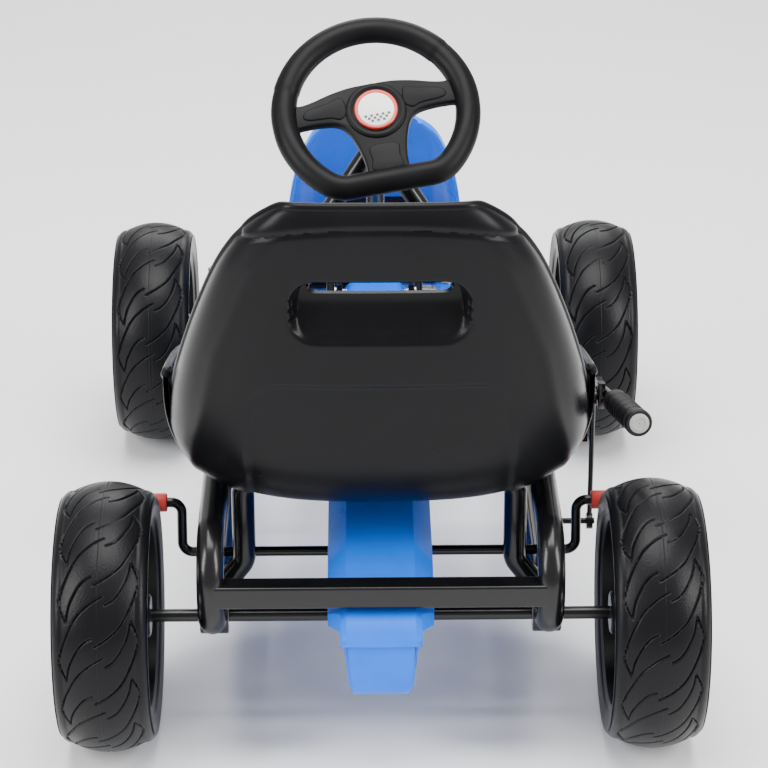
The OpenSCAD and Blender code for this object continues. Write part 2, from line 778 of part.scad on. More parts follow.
// A domed cap over the nut, outside the hub
module cap(side, y)
    color("#1f7fe0")
        translate([side * wheel_x, y, axle_z])
            rotate([0, side * 90, 0])
                rotate_extrude()
                    polygon([
                        [hub_d / 2, hub_out - 5.6], [hub_d / 2 + 5, hub_out - 5.6], [hub_d / 2 + 5, hub_out],
                        [hub_d / 2 + 1, hub_out + 9], [hub_d / 2 - 6, hub_out + 16], [0, hub_out + 18],
                        [0, hub_out + 15.5], [hub_d / 2 - 8, hub_out + 13], [hub_d / 2 - 3, hub_out + 8],
                        [hub_d / 2 - 3, hub_out + 0.3], [hub_d / 2, hub_out + 0.3]
                    ]);

module front_tyre_left() tyre(-1, front_y);
module front_tyre_right() tyre(1, front_y);
module rear_tyre_left() tyre(-1, rear_y);
module rear_tyre_right() tyre(1, rear_y);
module front_rim_left() rim(-1, front_y);
module front_rim_right() rim(1, front_y);
module rear_rim_left() rim(-1, rear_y);
module rear_rim_right() rim(1, rear_y);
module front_cap_left() cap(-1, front_y);
module front_cap_right() cap(1, front_y);
module rear_caps() { cap(-1, rear_y); cap(1, rear_y); }

module rear_axle()
    color("#2a2a2d")
        rod([-stub_end, rear_y, axle_z], [stub_end, rear_y, axle_z], axle_d);

module rear_axle_nuts()
    color("#c9cacd")
        for (side = [-1, 1])
            mirrored_x(side)
                difference() {
                    translate([wheel_x + hub_out + 0.6, rear_y, axle_z]) rotate([0, 90, 0]) hex(19, 9);
                    rod([wheel_x, rear_y, axle_z], [wheel_x + 60, rear_y, axle_z], axle_d + 0.02);
                }

// ---- drive ----
function pitch_r(teeth) = chain_pitch / (2 * sin(180 / teeth));
plate_half = 3.8;
tooth_t = 3;

module sprocket(teeth, y, z, bore) {
    r = pitch_r(teeth);
    step = 360 / teeth;
    translate([-tooth_t / 2, y, z])
        rotate([90, 0, 90])
            difference() {
                linear_extrude(height = tooth_t)
                    polygon([for (i = [0:teeth - 1]) each [
                        for (p = [[-0.30, -4.2], [-0.12, 3.2], [0.12, 3.2], [0.30, -4.2]])
                            (r + p[1]) * [cos((i + p[0]) * step), sin((i + p[0]) * step)]
                    ]]);
                translate([0, 0, -1]) cylinder(h = tooth_t + 2, d = bore);
            }
}

module rear_sprocket()
    color("#8c8d90") {
        sprocket(axle_teeth, rear_y, axle_z, axle_d + 0.02);
        rod([tooth_t / 2, rear_y, axle_z], [16, rear_y, axle_z], 26, axle_d + 0.02);
    }

module crank_sprocket()
    color("#8c8d90") {
        sprocket(crank_teeth, crank_y, crank_z, crank_d + 0.02);
        rod([tooth_t / 2, crank_y, crank_z], [12, crank_y, crank_z], 28, crank_d + 0.02);
    }

chain_run = [crank_y - rear_y, crank_z - axle_z];
chain_tilt = atan2(chain_run[1], chain_run[0]);
chain_open = asin((pitch_r(crank_teeth) - pitch_r(axle_teeth)) / norm(chain_run));

function chain_loop(grow) = concat(
    arc([crank_y, crank_z], pitch_r(crank_teeth) + grow, chain_tilt - 90 - chain_open, chain_tilt + 90 + chain_open, 24),
    arc([rear_y, axle_z], pitch_r(axle_teeth) + grow, chain_tilt + 90 + chain_open, chain_tilt + 270 - chain_open, 12)
);

// The chain's two rows of side plates, with rollers on its straight runs
module chain()
    color("#6f7073") {
        for (side = [-1, 1])
            translate([side * plate_half - (side > 0 ? 1.5 : 0), 0, 0])
                rotate([90, 0, 90])
                    linear_extrude(height = 1.5)
                        difference() {
                            polygon(chain_loop(4));
                            polygon(chain_loop(-4));
                        }
        for (side = [-1, 1]) {
            turn = chain_tilt + side * (90 + chain_open);
            from = [rear_y, axle_z] + pitch_r(axle_teeth) * [cos(turn), sin(turn)];
            to = [crank_y, crank_z] + pitch_r(crank_teeth) * [cos(turn), sin(turn)];
            way = unit(to - from);
            for (at = [3 * chain_pitch:2 * chain_pitch:norm(to - from) - 2 * chain_pitch])
                rod([-plate_half, from[0] + way[0] * at, from[1] + way[1] * at],
                    [plate_half, from[0] + way[0] * at, from[1] + way[1] * at], 5);
        }
    }

crank_arm_x = 54;
spindle_x = 140;

crank_bend = 11;

// A quarter bend of the crank rod, from one direction to another
module crank_elbow(corner, from, to)
    on_axes(-to, from, cross(-to, from), corner - from * crank_bend + to * crank_bend)
        rotate_extrude(angle = 90) translate([crank_bend, 0]) circle(d = crank_d);

// One bent rod: left spindle, left arm, shaft, right arm and right spindle
module crankshaft()
    color("#8c8d90") {
        rod([crank_bend - crank_arm_x, crank_y, crank_z], [crank_arm_x - crank_bend, crank_y, crank_z], crank_d);
        for (side = [-1, 1]) {
            near = [side * crank_arm_x, crank_y, crank_z];
            far = near + [0, side * crank_arm, 0];
            out = [side, 0, 0];
            ahead = [0, side, 0];
            crank_elbow(near, out, ahead);
            rod(near + ahead * crank_bend, far - ahead * crank_bend, crank_d);
            crank_elbow(far, ahead, out);
            rod(far + out * crank_bend, [side * spindle_x, far[1], crank_z], crank_d);
        }
    }

module pedal(side)
    color("#1f7fe0")
        translate([side > 0 ? spindle_x - 2 - pedal_w : -spindle_x + 2, crank_y + side * crank_arm, crank_z])
            rotate([90, 0, 90])
                difference() {
                    linear_extrude(height = pedal_w)
                        polygon([
                            [-pedal_l / 2 + 6, -pedal_t / 2], [pedal_l / 2 - 6, -pedal_t / 2],
                            [pedal_l / 2, -pedal_t / 2 + 6], [pedal_l / 2, pedal_t / 2 - 6],
                            [pedal_l / 2 - 6, pedal_t / 2], [-pedal_l / 2 + 6, pedal_t / 2],
                            [-pedal_l / 2, pedal_t / 2 - 6], [-pedal_l / 2, -pedal_t / 2 + 6]
                        ]);
                    translate([0, 0, -1]) cylinder(h = pedal_w + 2, d = crank_d + 2 * shaft_gap);
                }
module pedal_left() pedal(-1);
module pedal_right() pedal(1);

// ---- steering column and wheel ----
tip_at = column_top + column_dir * column_foot_len + [0, 1, 1] / sqrt(2) * pitman_arm;
module steering_column()
    color("#1b1b1e") {
        rod(column_top - column_dir * 4, column_top + column_dir * column_foot_len, column_d);
        on_axes([1, 0, 0], [0, 1, 1] / sqrt(2), -column_dir, column_top + column_dir * column_foot_len)
            translate([-pitman_half, -pitman_half, pitman_lift])
                cube([2 * pitman_half, pitman_arm + 2 * pitman_half, pitman_t]);
        rod([0, tip_at[1], tip_at[2] - 4], [0, tip_at[1], tie_z(1) + 10], pin_d);
    }

rim_line_r = wheel_w / 2 - grip_d / 2;
flat_at = 0.83 * rim_line_r;
corner_r = rim_line_r / 3;
corner_x = sqrt(pow(rim_line_r - corner_r, 2) - pow(flat_at - corner_r, 2));
corner_a = atan2(flat_at - corner_r, corner_x);

module wheel_frame()
    on_axes([1, 0, 0], [0, 1, 1] / sqrt(2), -column_dir, column_top)
        rotate(wheel_clock) children();

// Frames round the D-shaped rim: the main arc, and a corner at each end of the flat
rim_frames = concat(
    [for (i = [0:5]) rim_frame([corner_x, corner_r - flat_at], corner_r, mix(-90, -corner_a, i / 5))],
    [for (i = [1:31]) rim_frame([0, 0], rim_line_r, mix(-corner_a, 180 + corner_a, i / 32))],
    [for (i = [0:5]) rim_frame([-corner_x, corner_r - flat_at], corner_r, mix(180 + corner_a, 270, i / 5))]
);
function rim_frame(c, r, a) =
    [[c[0] + r * cos(a), c[1] + r * sin(a), 0], [cos(a), sin(a), 0], [0, 0, -1]];
spoke_t = 12;
hub_boss_d = 60;

module steering_wheel()
    color("#161618")
        wheel_frame()
            difference() {
                union() {
                    swept_bar(rim_frames, grip_d, bar_sides, true);
                    translate([0, 0, 4 - spoke_t])
                        linear_extrude(height = spoke_t)
                            polygon([
                                [-rim_line_r, -4], [-42, -14], [-26, -34], [-18, -flat_at],
                                [18, -flat_at], [26, -34], [42, -14], [rim_line_r, -4],
                                [rim_line_r, 24], [34, 30], [-34, 30], [-rim_line_r, 24]
                            ]);
                    translate([0, 0, -22]) cylinder(h = 28, d = hub_boss_d);
                }
                translate([0, 0, -30]) cylinder(h = 34, d = column_d + 0.02);
            }

module wheel_badge()
    color("#d8372c")
        wheel_frame()
            translate([0, 0, 6.05]) cylinder(h = 2, d = 42);

// A tie rod lies across the kart from its knuckle to the middle
module tie_rod(side) {
    z = tie_z(side);
    inner_y = tip_at[1];
    color("#8c8d90")
        difference() {
            union() {
                rod([side * 12, inner_y, z], [side * (kingpin_x - 8), tie_y, z], rod_d);
                rod([0, inner_y, z - rod_eye_t / 2], [0, inner_y, z + rod_eye_t / 2], rod_eye_d);
                rod([side * kingpin_x, tie_y, z - rod_eye_t / 2], [side * kingpin_x, tie_y, z + rod_eye_t / 2], 18);
            }
            rod([0, inner_y, z - 10], [0, inner_y, z + 10], pin_d + 2 * tie_gap);
            rod([side * kingpin_x, tie_y, z - 10], [side * kingpin_x, tie_y, z + 10], pin_d + 2 * shaft_gap);
        }
}
module tie_rod_left() tie_rod(-1);
module tie_rod_right() tie_rod(1);

// ---- nose fairing ----
nose_top_y = front_y - 125;
fairing_sections = [
    [nose_top_y, 430, 212, fairing_half * 0.52, 16],
    [nose_top_y + 22, 415, 214, fairing_half * 0.72, 28],
    [nose_top_y + 66, 374, 216, fairing_half * 0.90, 44],
    [nose_top_y + 122, 316, 218, fairing_half, 58],
    [nose_top_y + 180, 252, 212, fairing_half, 64],
    [nose_top_y + 228, 196, 202, fairing_half * 0.96, 44],
    [bumper_y + 1, 150, 188, fairing_half * 0.88, 34],
    [bumper_y + 2, beam_low_z + rail_d / 2 + rest_gap, 180, fairing_half * 0.84, 26]
];
stay_x = 50;
stay_top = [nose_top_y + 122 - 16, 290];
module fairing()
    color("#1f7fe0")
        bucket_shell(fairing_sections, fairing_wall, 2.6, 3, 10);

// A bent rod from the front beam that carries the back of the fairing
module fairing_stay()
    color("#141416")
        difference() {
            bent_bar([
                [-stay_x, front_y, beam_low_z],
                [-stay_x, stay_top[0], stay_top[1]],
                [stay_x, stay_top[0], stay_top[1]],
                [stay_x, front_y, beam_low_z]
            ], 10, 14);
            beam_space();
        }

// Screws that hold the chain covers between the crank plates
module trim_screws()
    color("#b9babd")
        for (side = [-1, 1]) {
            rod([side * (cover_front_w / 2 - cover_wall - 2), crank_y, screw_z],
                [side * (plate_x + plate_t), crank_y, screw_z], screw_d);
            rod([side * (plate_x + plate_t), crank_y, screw_z],
                [side * (plate_x + plate_t + 2.5), crank_y, screw_z], 2 * screw_d);
        }

// ---- brake ----
brake_y = rear_y + brake_reach;
brake_z = axle_z + 5;
brake_arm_x = 190;
pad_reach = tyre_d / 2 + pad_gap + pad_d / 2;
pad_y = brake_y + 10.5;
pad_z = axle_z + sqrt(pow(pad_reach, 2) - pow(pad_y - rear_y, 2));
pad_in = wheel_x - tyre_w / 2 - 4;
pad_len = 38;
brake_bend = 10;
pad_rod_d = brake_rod_d - 0.4;
bracket_t = 5;
link_arm = 60;
link_y = brake_y + link_arm;
tail_arm = 16;
lever_y = link_y + tail_arm;
lever_z = 264;
lever_plate_x = half + 1;
link_in = lever_plate_x + bracket_t + 1;
link_arm_x = rail_x + rail_d / 2 + 6;
link_t = 6;
link_d = 6;
link_rod_d = 5;
link_eye_d = 16;
link_gap = 0.6;
lever_in = link_in + link_t + 1;
lever_t = 6;
lever_way = unit([20, -150, 33]);
lever_from = [lever_in + 4.6, lever_y - 10, lever_z + 6];
lever_to = lever_from + lever_way * lever_len;
grip_len = 100;

// The cross rod of the brake, with an arm for each pad and one for the link
module brake_bar()
    color("#17171a") {
        straight = brake_arm_x - brake_bend;
        rod([-straight, brake_y, brake_z], [straight, brake_y, brake_z], brake_rod_d);
        for (side = [-1, 1])
            bent_bar([
                [side * (straight - 6), brake_y, brake_z],
                [side * brake_arm_x, brake_y, brake_z],
                [side * brake_arm_x, pad_y, pad_z],
                [side * (pad_in + pad_len), pad_y, pad_z]
            ], pad_rod_d, brake_bend);
        translate([link_arm_x, brake_y - 7, brake_z - 7]) cube([bracket_t, link_arm + 14, 14]);
        rod([link_arm_x + 1, link_y, brake_z], [link_in + link_t + 2, link_y, brake_z], link_d);
    }

module brake_pads()
    color("#c8281e")
        for (side = [-1, 1])
            rod([side * pad_in, pad_y, pad_z], [side * (pad_in + pad_len), pad_y, pad_z], pad_d, pad_rod_d + 0.02);

// Plates that carry the brake's cross rod on the lower rails, and the lever's plate
module brake_brackets()
    color("#17171a") {
        for (side = [-1, 1])
            difference() {
                translate([side * rail_x - bracket_t / 2, brake_y - 9, floor_z])
                    cube([bracket_t, 21, brake_z + 12 - floor_z]);
                rail_path(side, rail_d);
                rod([side * rail_x - 20, brake_y, brake_z], [side * rail_x + 20, brake_y, brake_z],
                    brake_rod_d + 2 * shaft_gap);
            }
        difference() {
            translate([rail_x, lever_y - 14, upper_rail_z - 6])
                cube([lever_plate_x + bracket_t - rail_x, 28, bracket_t]);
            loop_path(1, rail_d);
        }
        translate([lever_plate_x, lever_y - 14, upper_rail_z - 6])
            cube([bracket_t, 28, lever_z + 14 - upper_rail_z + 6]);
        rod([lever_plate_x + 1, lever_y, lever_z], [lever_in + lever_t + 3, lever_y, lever_z], 8);
    }

module brake_lever()
    color("#17171a")
        difference() {
            union() {
                translate([lever_in, 0, 0])
                    rotate([90, 0, 90])
                        linear_extrude(height = lever_t)
                            polygon([
                                [lever_y + 11, lever_z - 8], [lever_y + 11, lever_z + 10],
                                [lever_y - 14, lever_z + 16], [lever_y - 34, lever_z + 22],
                                [lever_y - 34, lever_z + 6], [lever_y - 26, lever_z - 8]
                            ]);
                rod(lever_from, lever_to - lever_way * 4, 10);
                rod([link_in - 1, link_y, lever_z], [lever_in + lever_t, link_y, lever_z], link_d);
            }
            rod([lever_in - 5, lever_y, lever_z], [lever_in + 20, lever_y, lever_z], 8 + 2 * shaft_gap);
        }

module lever_grip()
    color("#161618")
        difference() {
            rod(lever_to - lever_way * grip_len, lever_to, lever_grip_d);
            rod(lever_to - lever_way * (grip_len + 5), lever_to - lever_way * 4, 10.02);
        }

// A straight link from the lever's tail to the arm of the cross rod
module brake_link()
    color("#8c8d90")
        difference() {
            union() {
                rod([link_in + link_t / 2, link_y, brake_z], [link_in + link_t / 2, link_y, lever_z], link_rod_d);
                for (z = [brake_z, lever_z])
                    rod([link_in, link_y, z], [link_in + link_t, link_y, z], link_eye_d);
            }
            for (z = [brake_z, lever_z])
                rod([link_in - 5, link_y, z], [link_in + link_t + 5, link_y, z], link_d + 2 * link_gap);
        }

side_loop_left();
side_loop_right();
lower_rail_left();
lower_rail_right();
rear_cross_bar();
seat_hoop();
seat_cross_bar();
floor_cross_bar();
front_beam();
kingpin_sleeves();
strut_left();
strut_right();
column_tube();
column_foot();
crank_plates();
bumper();
bearing_cups();
frame_bushes();
seat();
seat_bolts();
upper_cover();
lower_cover();
trim_screws();
chain();
fairing();
fairing_stay();
brake_brackets();
rear_axle();
rear_tyre_left();
rear_tyre_right();
rear_rim_left();
rear_rim_right();
rear_caps();
rear_sprocket();
rear_axle_nuts();
crankshaft();
crank_sprocket();
pedal_left();
pedal_right();
steering_column();
steering_wheel();
wheel_badge();
knuckle_left();
knuckle_right();
knuckle_nuts_left();
knuckle_nuts_right();
front_tyre_left();
front_tyre_right();
front_rim_left();
front_rim_right();
front_cap_left();
front_cap_right();
tie_rod_left();
tie_rod_right();
brake_lever();
lever_grip();
brake_link();
brake_bar();
brake_pads();
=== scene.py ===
"""The looks of the pedal go kart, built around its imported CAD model.

Everything is in metres in the row frame: +X is the rider's right, +Y is forward and +Z is up.
Outlines and profiles are written in mm and placed by at(), wheel_place() or revolve().
Sizes that the CAD part also has are read from the frame's boxes where they can be.
"""

import json
import math

import bmesh
import bpy
import numpy as np
from mathutils import Matrix, Vector

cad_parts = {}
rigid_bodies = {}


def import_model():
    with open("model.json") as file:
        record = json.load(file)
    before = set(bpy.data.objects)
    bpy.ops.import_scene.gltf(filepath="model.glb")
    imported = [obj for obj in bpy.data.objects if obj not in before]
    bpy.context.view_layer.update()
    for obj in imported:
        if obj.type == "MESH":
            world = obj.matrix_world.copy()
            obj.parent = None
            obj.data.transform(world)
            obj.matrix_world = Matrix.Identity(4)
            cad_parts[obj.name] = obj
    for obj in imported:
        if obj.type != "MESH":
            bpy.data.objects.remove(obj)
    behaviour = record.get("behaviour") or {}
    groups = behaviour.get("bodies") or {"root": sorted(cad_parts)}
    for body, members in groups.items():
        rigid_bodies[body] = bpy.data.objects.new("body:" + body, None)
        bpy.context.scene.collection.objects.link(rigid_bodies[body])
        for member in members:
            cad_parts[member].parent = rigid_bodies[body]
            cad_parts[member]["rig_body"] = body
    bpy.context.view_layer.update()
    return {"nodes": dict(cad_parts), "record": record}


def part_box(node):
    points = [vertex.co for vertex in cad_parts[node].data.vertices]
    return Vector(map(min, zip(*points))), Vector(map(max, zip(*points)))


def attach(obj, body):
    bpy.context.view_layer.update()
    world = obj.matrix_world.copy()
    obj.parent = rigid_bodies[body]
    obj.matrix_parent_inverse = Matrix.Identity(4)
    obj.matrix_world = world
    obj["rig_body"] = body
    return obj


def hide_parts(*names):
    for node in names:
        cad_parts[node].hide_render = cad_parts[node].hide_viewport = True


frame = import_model()
MM = 0.001


def low(node):
    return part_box(node)[0]


def high(node):
    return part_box(node)[1]


def middle(node):
    return (low(node) + high(node)) / 2


# ---- places taken from the frame ----
REAR_Y = middle("rear_axle").y
FRONT_Y = middle("front_tyre_left").y
AXLE_Z = middle("rear_axle").z
WHEEL_X = middle("rear_tyre_right").x
TYRE_R = (high("rear_tyre_right").z - low("rear_tyre_right").z) / 2
TYRE_W = high("rear_tyre_right").x - low("rear_tyre_right").x
SEAT_TOP_Z = high("seat").z
SEAT_LOW_Z = low("seat").z
# Distance between the axles, in mm
WHEELBASE = round((FRONT_Y - REAR_Y) / MM, 3)
# Radius of the rails' and the bumper's tubes
RAIL_R = 12.5 * MM
BUMPER_Y = high("bumper").y - RAIL_R
COLUMN_TOP = Vector((0, REAR_Y + 340 * MM, 501 * MM))


def at(x, ahead, z):
    """A point given in mm: X, distance ahead of the rear axle, and height."""
    return Vector((x * MM, REAR_Y + ahead * MM, z * MM))


# ---- materials ----
def new_material(name, colour, roughness, metallic=0.0, specular=0.5, coat=0.0):
    material = bpy.data.materials.new(name)
    material.use_nodes = True
    shader = material.node_tree.nodes["Principled BSDF"]
    shader.inputs["Base Color"].default_value = (*colour, 1)
    shader.inputs["Roughness"].default_value = roughness
    shader.inputs["Metallic"].default_value = metallic
    shader.inputs["Specular IOR Level"].default_value = specular
    shader.inputs["Coat Weight"].default_value = coat
    shader.inputs["Coat Roughness"].default_value = 0.12
    return material


def add_node(material, kind, **values):
    node = material.node_tree.nodes.new(kind)
    for key, value in values.items():
        if key in node.inputs:
            node.inputs[key].default_value = value
        else:
            setattr(node, key, value)
    return node


def noise(material, size, detail=3.0, distortion=0.0):
    """A noise texture whose blobs are about size metres across, in the piece's own coordinates."""
    place = add_node(material, "ShaderNodeTexCoord")
    texture = add_node(material, "ShaderNodeTexNoise", Scale=1 / size, Detail=detail, Distortion=distortion)
    material.node_tree.links.new(place.outputs["Object"], texture.inputs["Vector"])
    return texture.outputs["Fac"]


def vary(material, socket, source, from_value, to_value, low_at=0.35, high_at=0.65):
    """Drives a number of the shader from a texture, between two values."""
    spread = add_node(material, "ShaderNodeMapRange")
    spread.inputs["From Min"].default_value = low_at
    spread.inputs["From Max"].default_value = high_at
    spread.inputs["To Min"].default_value = from_value
    spread.inputs["To Max"].default_value = to_value
    shader = material.node_tree.nodes["Principled BSDF"]
    material.node_tree.links.new(source, spread.inputs["Value"])
    material.node_tree.links.new(spread.outputs["Result"], shader.inputs[socket])


def tint(material, source, first, second, low_at=0.35, high_at=0.65):
    """Paints the base colour from a texture, between two colours."""
    ramp = add_node(material, "ShaderNodeValToRGB")
    ramp.color_ramp.elements[0].position = low_at
    ramp.color_ramp.elements[0].color = (*first, 1)
    ramp.color_ramp.elements[1].position = high_at
    ramp.color_ramp.elements[1].color = (*second, 1)
    shader = material.node_tree.nodes["Principled BSDF"]
    material.node_tree.links.new(source, ramp.inputs["Fac"])
    material.node_tree.links.new(ramp.outputs["Color"], shader.inputs["Base Color"])


def roughen(material, source, depth, strength=1.0):
    """Bumps the surface from a texture, by depth metres."""
    bump = add_node(material, "ShaderNodeBump", Distance=depth, Strength=strength)
    shader = material.node_tree.nodes["Principled BSDF"]
    material.node_tree.links.new(source, bump.inputs["Height"])
    material.node_tree.links.new(bump.outputs["Normal"], shader.inputs["Normal"])


def shade(colour, factor):
    return tuple(min(1.0, c * factor) for c in colour)


def moulded(name, colour, roughness, grain=1.2 * MM, depth=0.05 * MM, spread=0.12, **more):
    """Moulded plastic, foam or paint: a fine grain, and a little change of colour and gloss."""
    material = new_material(name, colour, roughness, **more)
    cloud = noise(material, 60 * MM, detail=4)
    tint(material, cloud, shade(colour, 1 - spread), shade(colour, 1 + spread))
    vary(material, "Roughness", cloud, roughness * 0.88, roughness * 1.14)
    roughen(material, noise(material, grain, detail=2), depth)
    return material


def metal(name, colour, roughness, brushed=0.6 * MM, **more):
    """Plated or bare steel: smears and fine scratches."""
    material = new_material(name, colour, roughness, metallic=1.0, **more)
    smear = noise(material, 12 * MM, detail=6, distortion=0.8)
    tint(material, smear, shade(colour, 0.8), shade(colour, 1.1))
    vary(material, "Roughness", smear, roughness * 0.7, roughness * 1.5)
    roughen(material, noise(material, brushed, detail=2), 0.02 * MM)
    return material


BLUE = (0.0, 0.155, 0.86)
MATERIALS = {
    "frame_paint": moulded("frame_paint", (0.004, 0.004, 0.0046), 0.24, grain=3 * MM, depth=0.06 * MM,
                           specular=0.3, coat=0.12),
    "seat_plastic": moulded("seat_plastic", (0.004, 0.004, 0.0048), 0.3, grain=0.7 * MM, depth=0.03 * MM,
                            specular=0.13),
    "tyre_foam": moulded("tyre_foam", (0.004, 0.004, 0.005), 0.33, grain=1.5 * MM, depth=0.22 * MM,
                         specular=0.15),
    "rim_plastic": moulded("rim_plastic", (0.006, 0.006, 0.007), 0.32, specular=0.25),
    "blue_plastic": moulded("blue_plastic", BLUE, 0.3, grain=0.9 * MM, depth=0.02 * MM, spread=0.06,
                            specular=0.14),
    "pedal_plastic": moulded("pedal_plastic", BLUE, 0.36, specular=0.3),
    "wheel_plastic": moulded("wheel_plastic", (0.004, 0.004, 0.0046), 0.42, grain=0.9 * MM,
                             depth=0.09 * MM, specular=0.12),
    "grip_rubber": moulded("grip_rubber", (0.007, 0.007, 0.0075), 0.48, grain=0.8 * MM, depth=0.06 * MM,
                           specular=0.25),
    "pad_rubber": moulded("pad_rubber", (0.55, 0.03, 0.02), 0.5),
    "nylon": moulded("nylon", (0.66, 0.65, 0.6), 0.45),
    "zinc": metal("zinc", (0.72, 0.72, 0.73), 0.26),
    "chrome_nut": metal("chrome_nut", (0.8, 0.8, 0.81), 0.14),
    "chain_steel": metal("chain_steel", (0.38, 0.37, 0.36), 0.35),
    "badge": moulded("badge", (0.62, 0.035, 0.022), 0.3),
}
badge_white = moulded("badge_white", (0.82, 0.82, 0.8), 0.28, spread=0.04)
badge_black = moulded("badge_black", (0.012, 0.012, 0.012), 0.3)
end_grey = moulded("end_grey", (0.34, 0.34, 0.33), 0.5)

slots = {part["node"]: part["material_slot"] for part in frame["record"]["subparts"]}
for node, piece in frame["nodes"].items():
    piece.data.materials.clear()
    piece.data.materials.append(MATERIALS[slots[node]])


# ---- mesh helpers ----
def mesh_piece(name, points, faces, body, slot, replaced=(), material=None, sharp=35):
    """A new piece with its material, riding on a body and standing for CAD nodes."""
    mesh = bpy.data.meshes.new(name)
    mesh.from_pydata([tuple(p) for p in points], [], [tuple(int(i) for i in f) for f in faces])
    mesh.validate()
    mesh.materials.append(material or MATERIALS[slot])
    mesh.shade_smooth()
    mesh.set_sharp_from_angle(angle=math.radians(sharp))
    piece = bpy.data.objects.new(name, mesh)
    bpy.context.scene.collection.objects.link(piece)
    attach(piece, body)
    if replaced:
        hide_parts(*replaced)
    return piece


def grid_faces(rows, columns, wrap_rows=False, wrap_columns=False, start=0):
    """Quads over a grid of points stored row by row."""
    i = np.arange(rows if wrap_rows else rows - 1)
    j = np.arange(columns if wrap_columns else columns - 1)
    i, j = (a.ravel() for a in np.meshgrid(i, j, indexing="ij"))
    below, beside = (i + 1) % rows, (j + 1) % columns
    return start + np.stack([i * columns + j, i * columns + beside, below * columns + beside,
                             below * columns + j], axis=1)


def unit(v):
    return v / np.maximum(np.linalg.norm(v, axis=-1, keepdims=True), 1e-12)


def bent_line(points, bend, step=math.radians(4)):
    """The middle line of a bar that follows points with round bends of one radius."""
    points = [Vector(p) for p in points]
    line = [points[0]]
    for before, corner, after in zip(points, points[1:], points[2:]):
        way_in = (corner - before).normalized()
        way_out = (after - corner).normalized()
        turn = way_in.angle(way_out)
        inward = (way_out - way_in * way_in.dot(way_out)).normalized()
        centre = corner - way_in * bend * math.tan(turn / 2) + inward * bend
        steps = max(2, round(turn / step))
        for k in range(steps + 1):
            a = turn * k / steps
            line.append(centre + bend * (way_in * math.sin(a) - inward * math.cos(a)))
    line.append(points[-1])
    return np.array([tuple(p) for p in line])


def tube_rings(line, radii, sides, closed=False, first_side=None):
    """Rings of points round a line, kept from twisting."""
    ahead = np.roll(line, -1, 0) - line
    behind = line - np.roll(line, 1, 0)
    if not closed:
        ahead[-1], behind[0] = behind[-1], ahead[0]
    tangents = unit(unit(ahead) + unit(behind))
    side = np.array(first_side if first_side is not None
                    else np.cross(tangents[0], [0.31, 0.52, 0.79]), float)
    turns = np.arange(sides) * 2 * math.pi / sides
    rings = []
    for point, tangent, radius in zip(line, tangents, np.broadcast_to(radii, len(line))):
        side = unit(side - tangent * side.dot(tangent))
        up = np.cross(tangent, side)
        rings.append(point + radius * (np.outer(np.cos(turns), side) + np.outer(np.sin(turns), up)))
    return np.array(rings)


def capped_faces(rings, sides):
    """The faces of a bar made of rings of points, with both its ends."""
    faces = [tuple(f) for f in grid_faces(rings, sides, wrap_columns=True)]
    last = (rings - 1) * sides
    return faces + [tuple(range(sides - 1, -1, -1)), tuple(range(last, last + sides))]


def tube(name, line, radius, body, slot, replaced=(), sides=40):
    """A round bar along a line, with softened ends."""
    edge = radius * 0.12
    start, end = unit(line[1] - line[0]), unit(line[-1] - line[-2])
    line = np.concatenate([[line[0]], [line[0] + start * edge], line[1:-1], [line[-1] - end * edge],
                           [line[-1]]])
    radii = np.full(len(line), radius)
    radii[[0, -1]] = radius - edge
    rings = tube_rings(line, radii, sides)
    mesh_piece(name, rings.reshape(-1, 3), capped_faces(len(line), sides), body, slot, replaced)


def revolve(name, profile, origin, axis, body, slot, replaced=(), sides=96, material=None, sharp=35):
    """A turned piece. The profile is [radius, distance along the axis] in mm."""
    axis = Vector(axis).normalized()
    side = axis.orthogonal().normalized()
    up = axis.cross(side)
    points = []
    for radius, along in profile:
        for k in range(sides):
            a = 2 * math.pi * k / sides
            points.append(Vector(origin) + axis * along * MM
                          + (side * math.cos(a) + up * math.sin(a)) * radius * MM)
    faces = grid_faces(len(profile), sides, wrap_columns=True)
    return mesh_piece(name, points, faces, body, slot, replaced, material=material, sharp=sharp)


def clean(piece):
    """Drops points that no face uses, and turns every face outwards."""
    work = bmesh.new()
    work.from_mesh(piece.data)
    loose = [v for v in work.verts if not v.link_faces]
    bmesh.ops.delete(work, geom=loose, context="VERTS")
    bmesh.ops.recalc_face_normals(work, faces=work.faces)
    work.to_mesh(piece.data)
    work.free()


def closed_skins(outer, inner, kept):
    """Points and faces of two like skins, with walls that close every open edge between them."""
    points = np.concatenate([outer.reshape(-1, 3), inner.reshape(-1, 3)])
    count = len(points) // 2
    faces = [tuple(f) for f in kept] + [tuple(f[::-1] + count) for f in kept]
    edges = {(int(a), int(b)): True for f in kept for a, b in zip(f, np.roll(f, -1))}
    faces += [(b, a, a + count, b + count) for a, b in edges if (b, a) not in edges]
    return points, faces


def curve_through(points, steps=10, closed=False):
    """A smooth line through the given points (Catmull-Rom)."""
    points = np.array(points, float)
    count = len(points)
    out = []
    for i in range(count if closed else count - 1):
        if closed:
            p0, p1, p2, p3 = (points[(i + k) % count] for k in (-1, 0, 1, 2))
        else:
            p0, p1, p2, p3 = (points[min(max(i + k, 0), count - 1)] for k in (-1, 0, 1, 2))
        for s in range(steps):
            t = s / steps
            out.append(0.5 * (2 * p1 + (p2 - p0) * t + (2 * p0 - 5 * p1 + 4 * p2 - p3) * t * t
                              + (3 * p1 - p0 - 3 * p2 + p3) * t ** 3))
    if not closed:
        out.append(points[-1])
    return np.array(out)


def smoothstep(x, start, end):
    t = np.clip((x - start) / (end - start), 0, 1)
    return t * t * (3 - 2 * t)


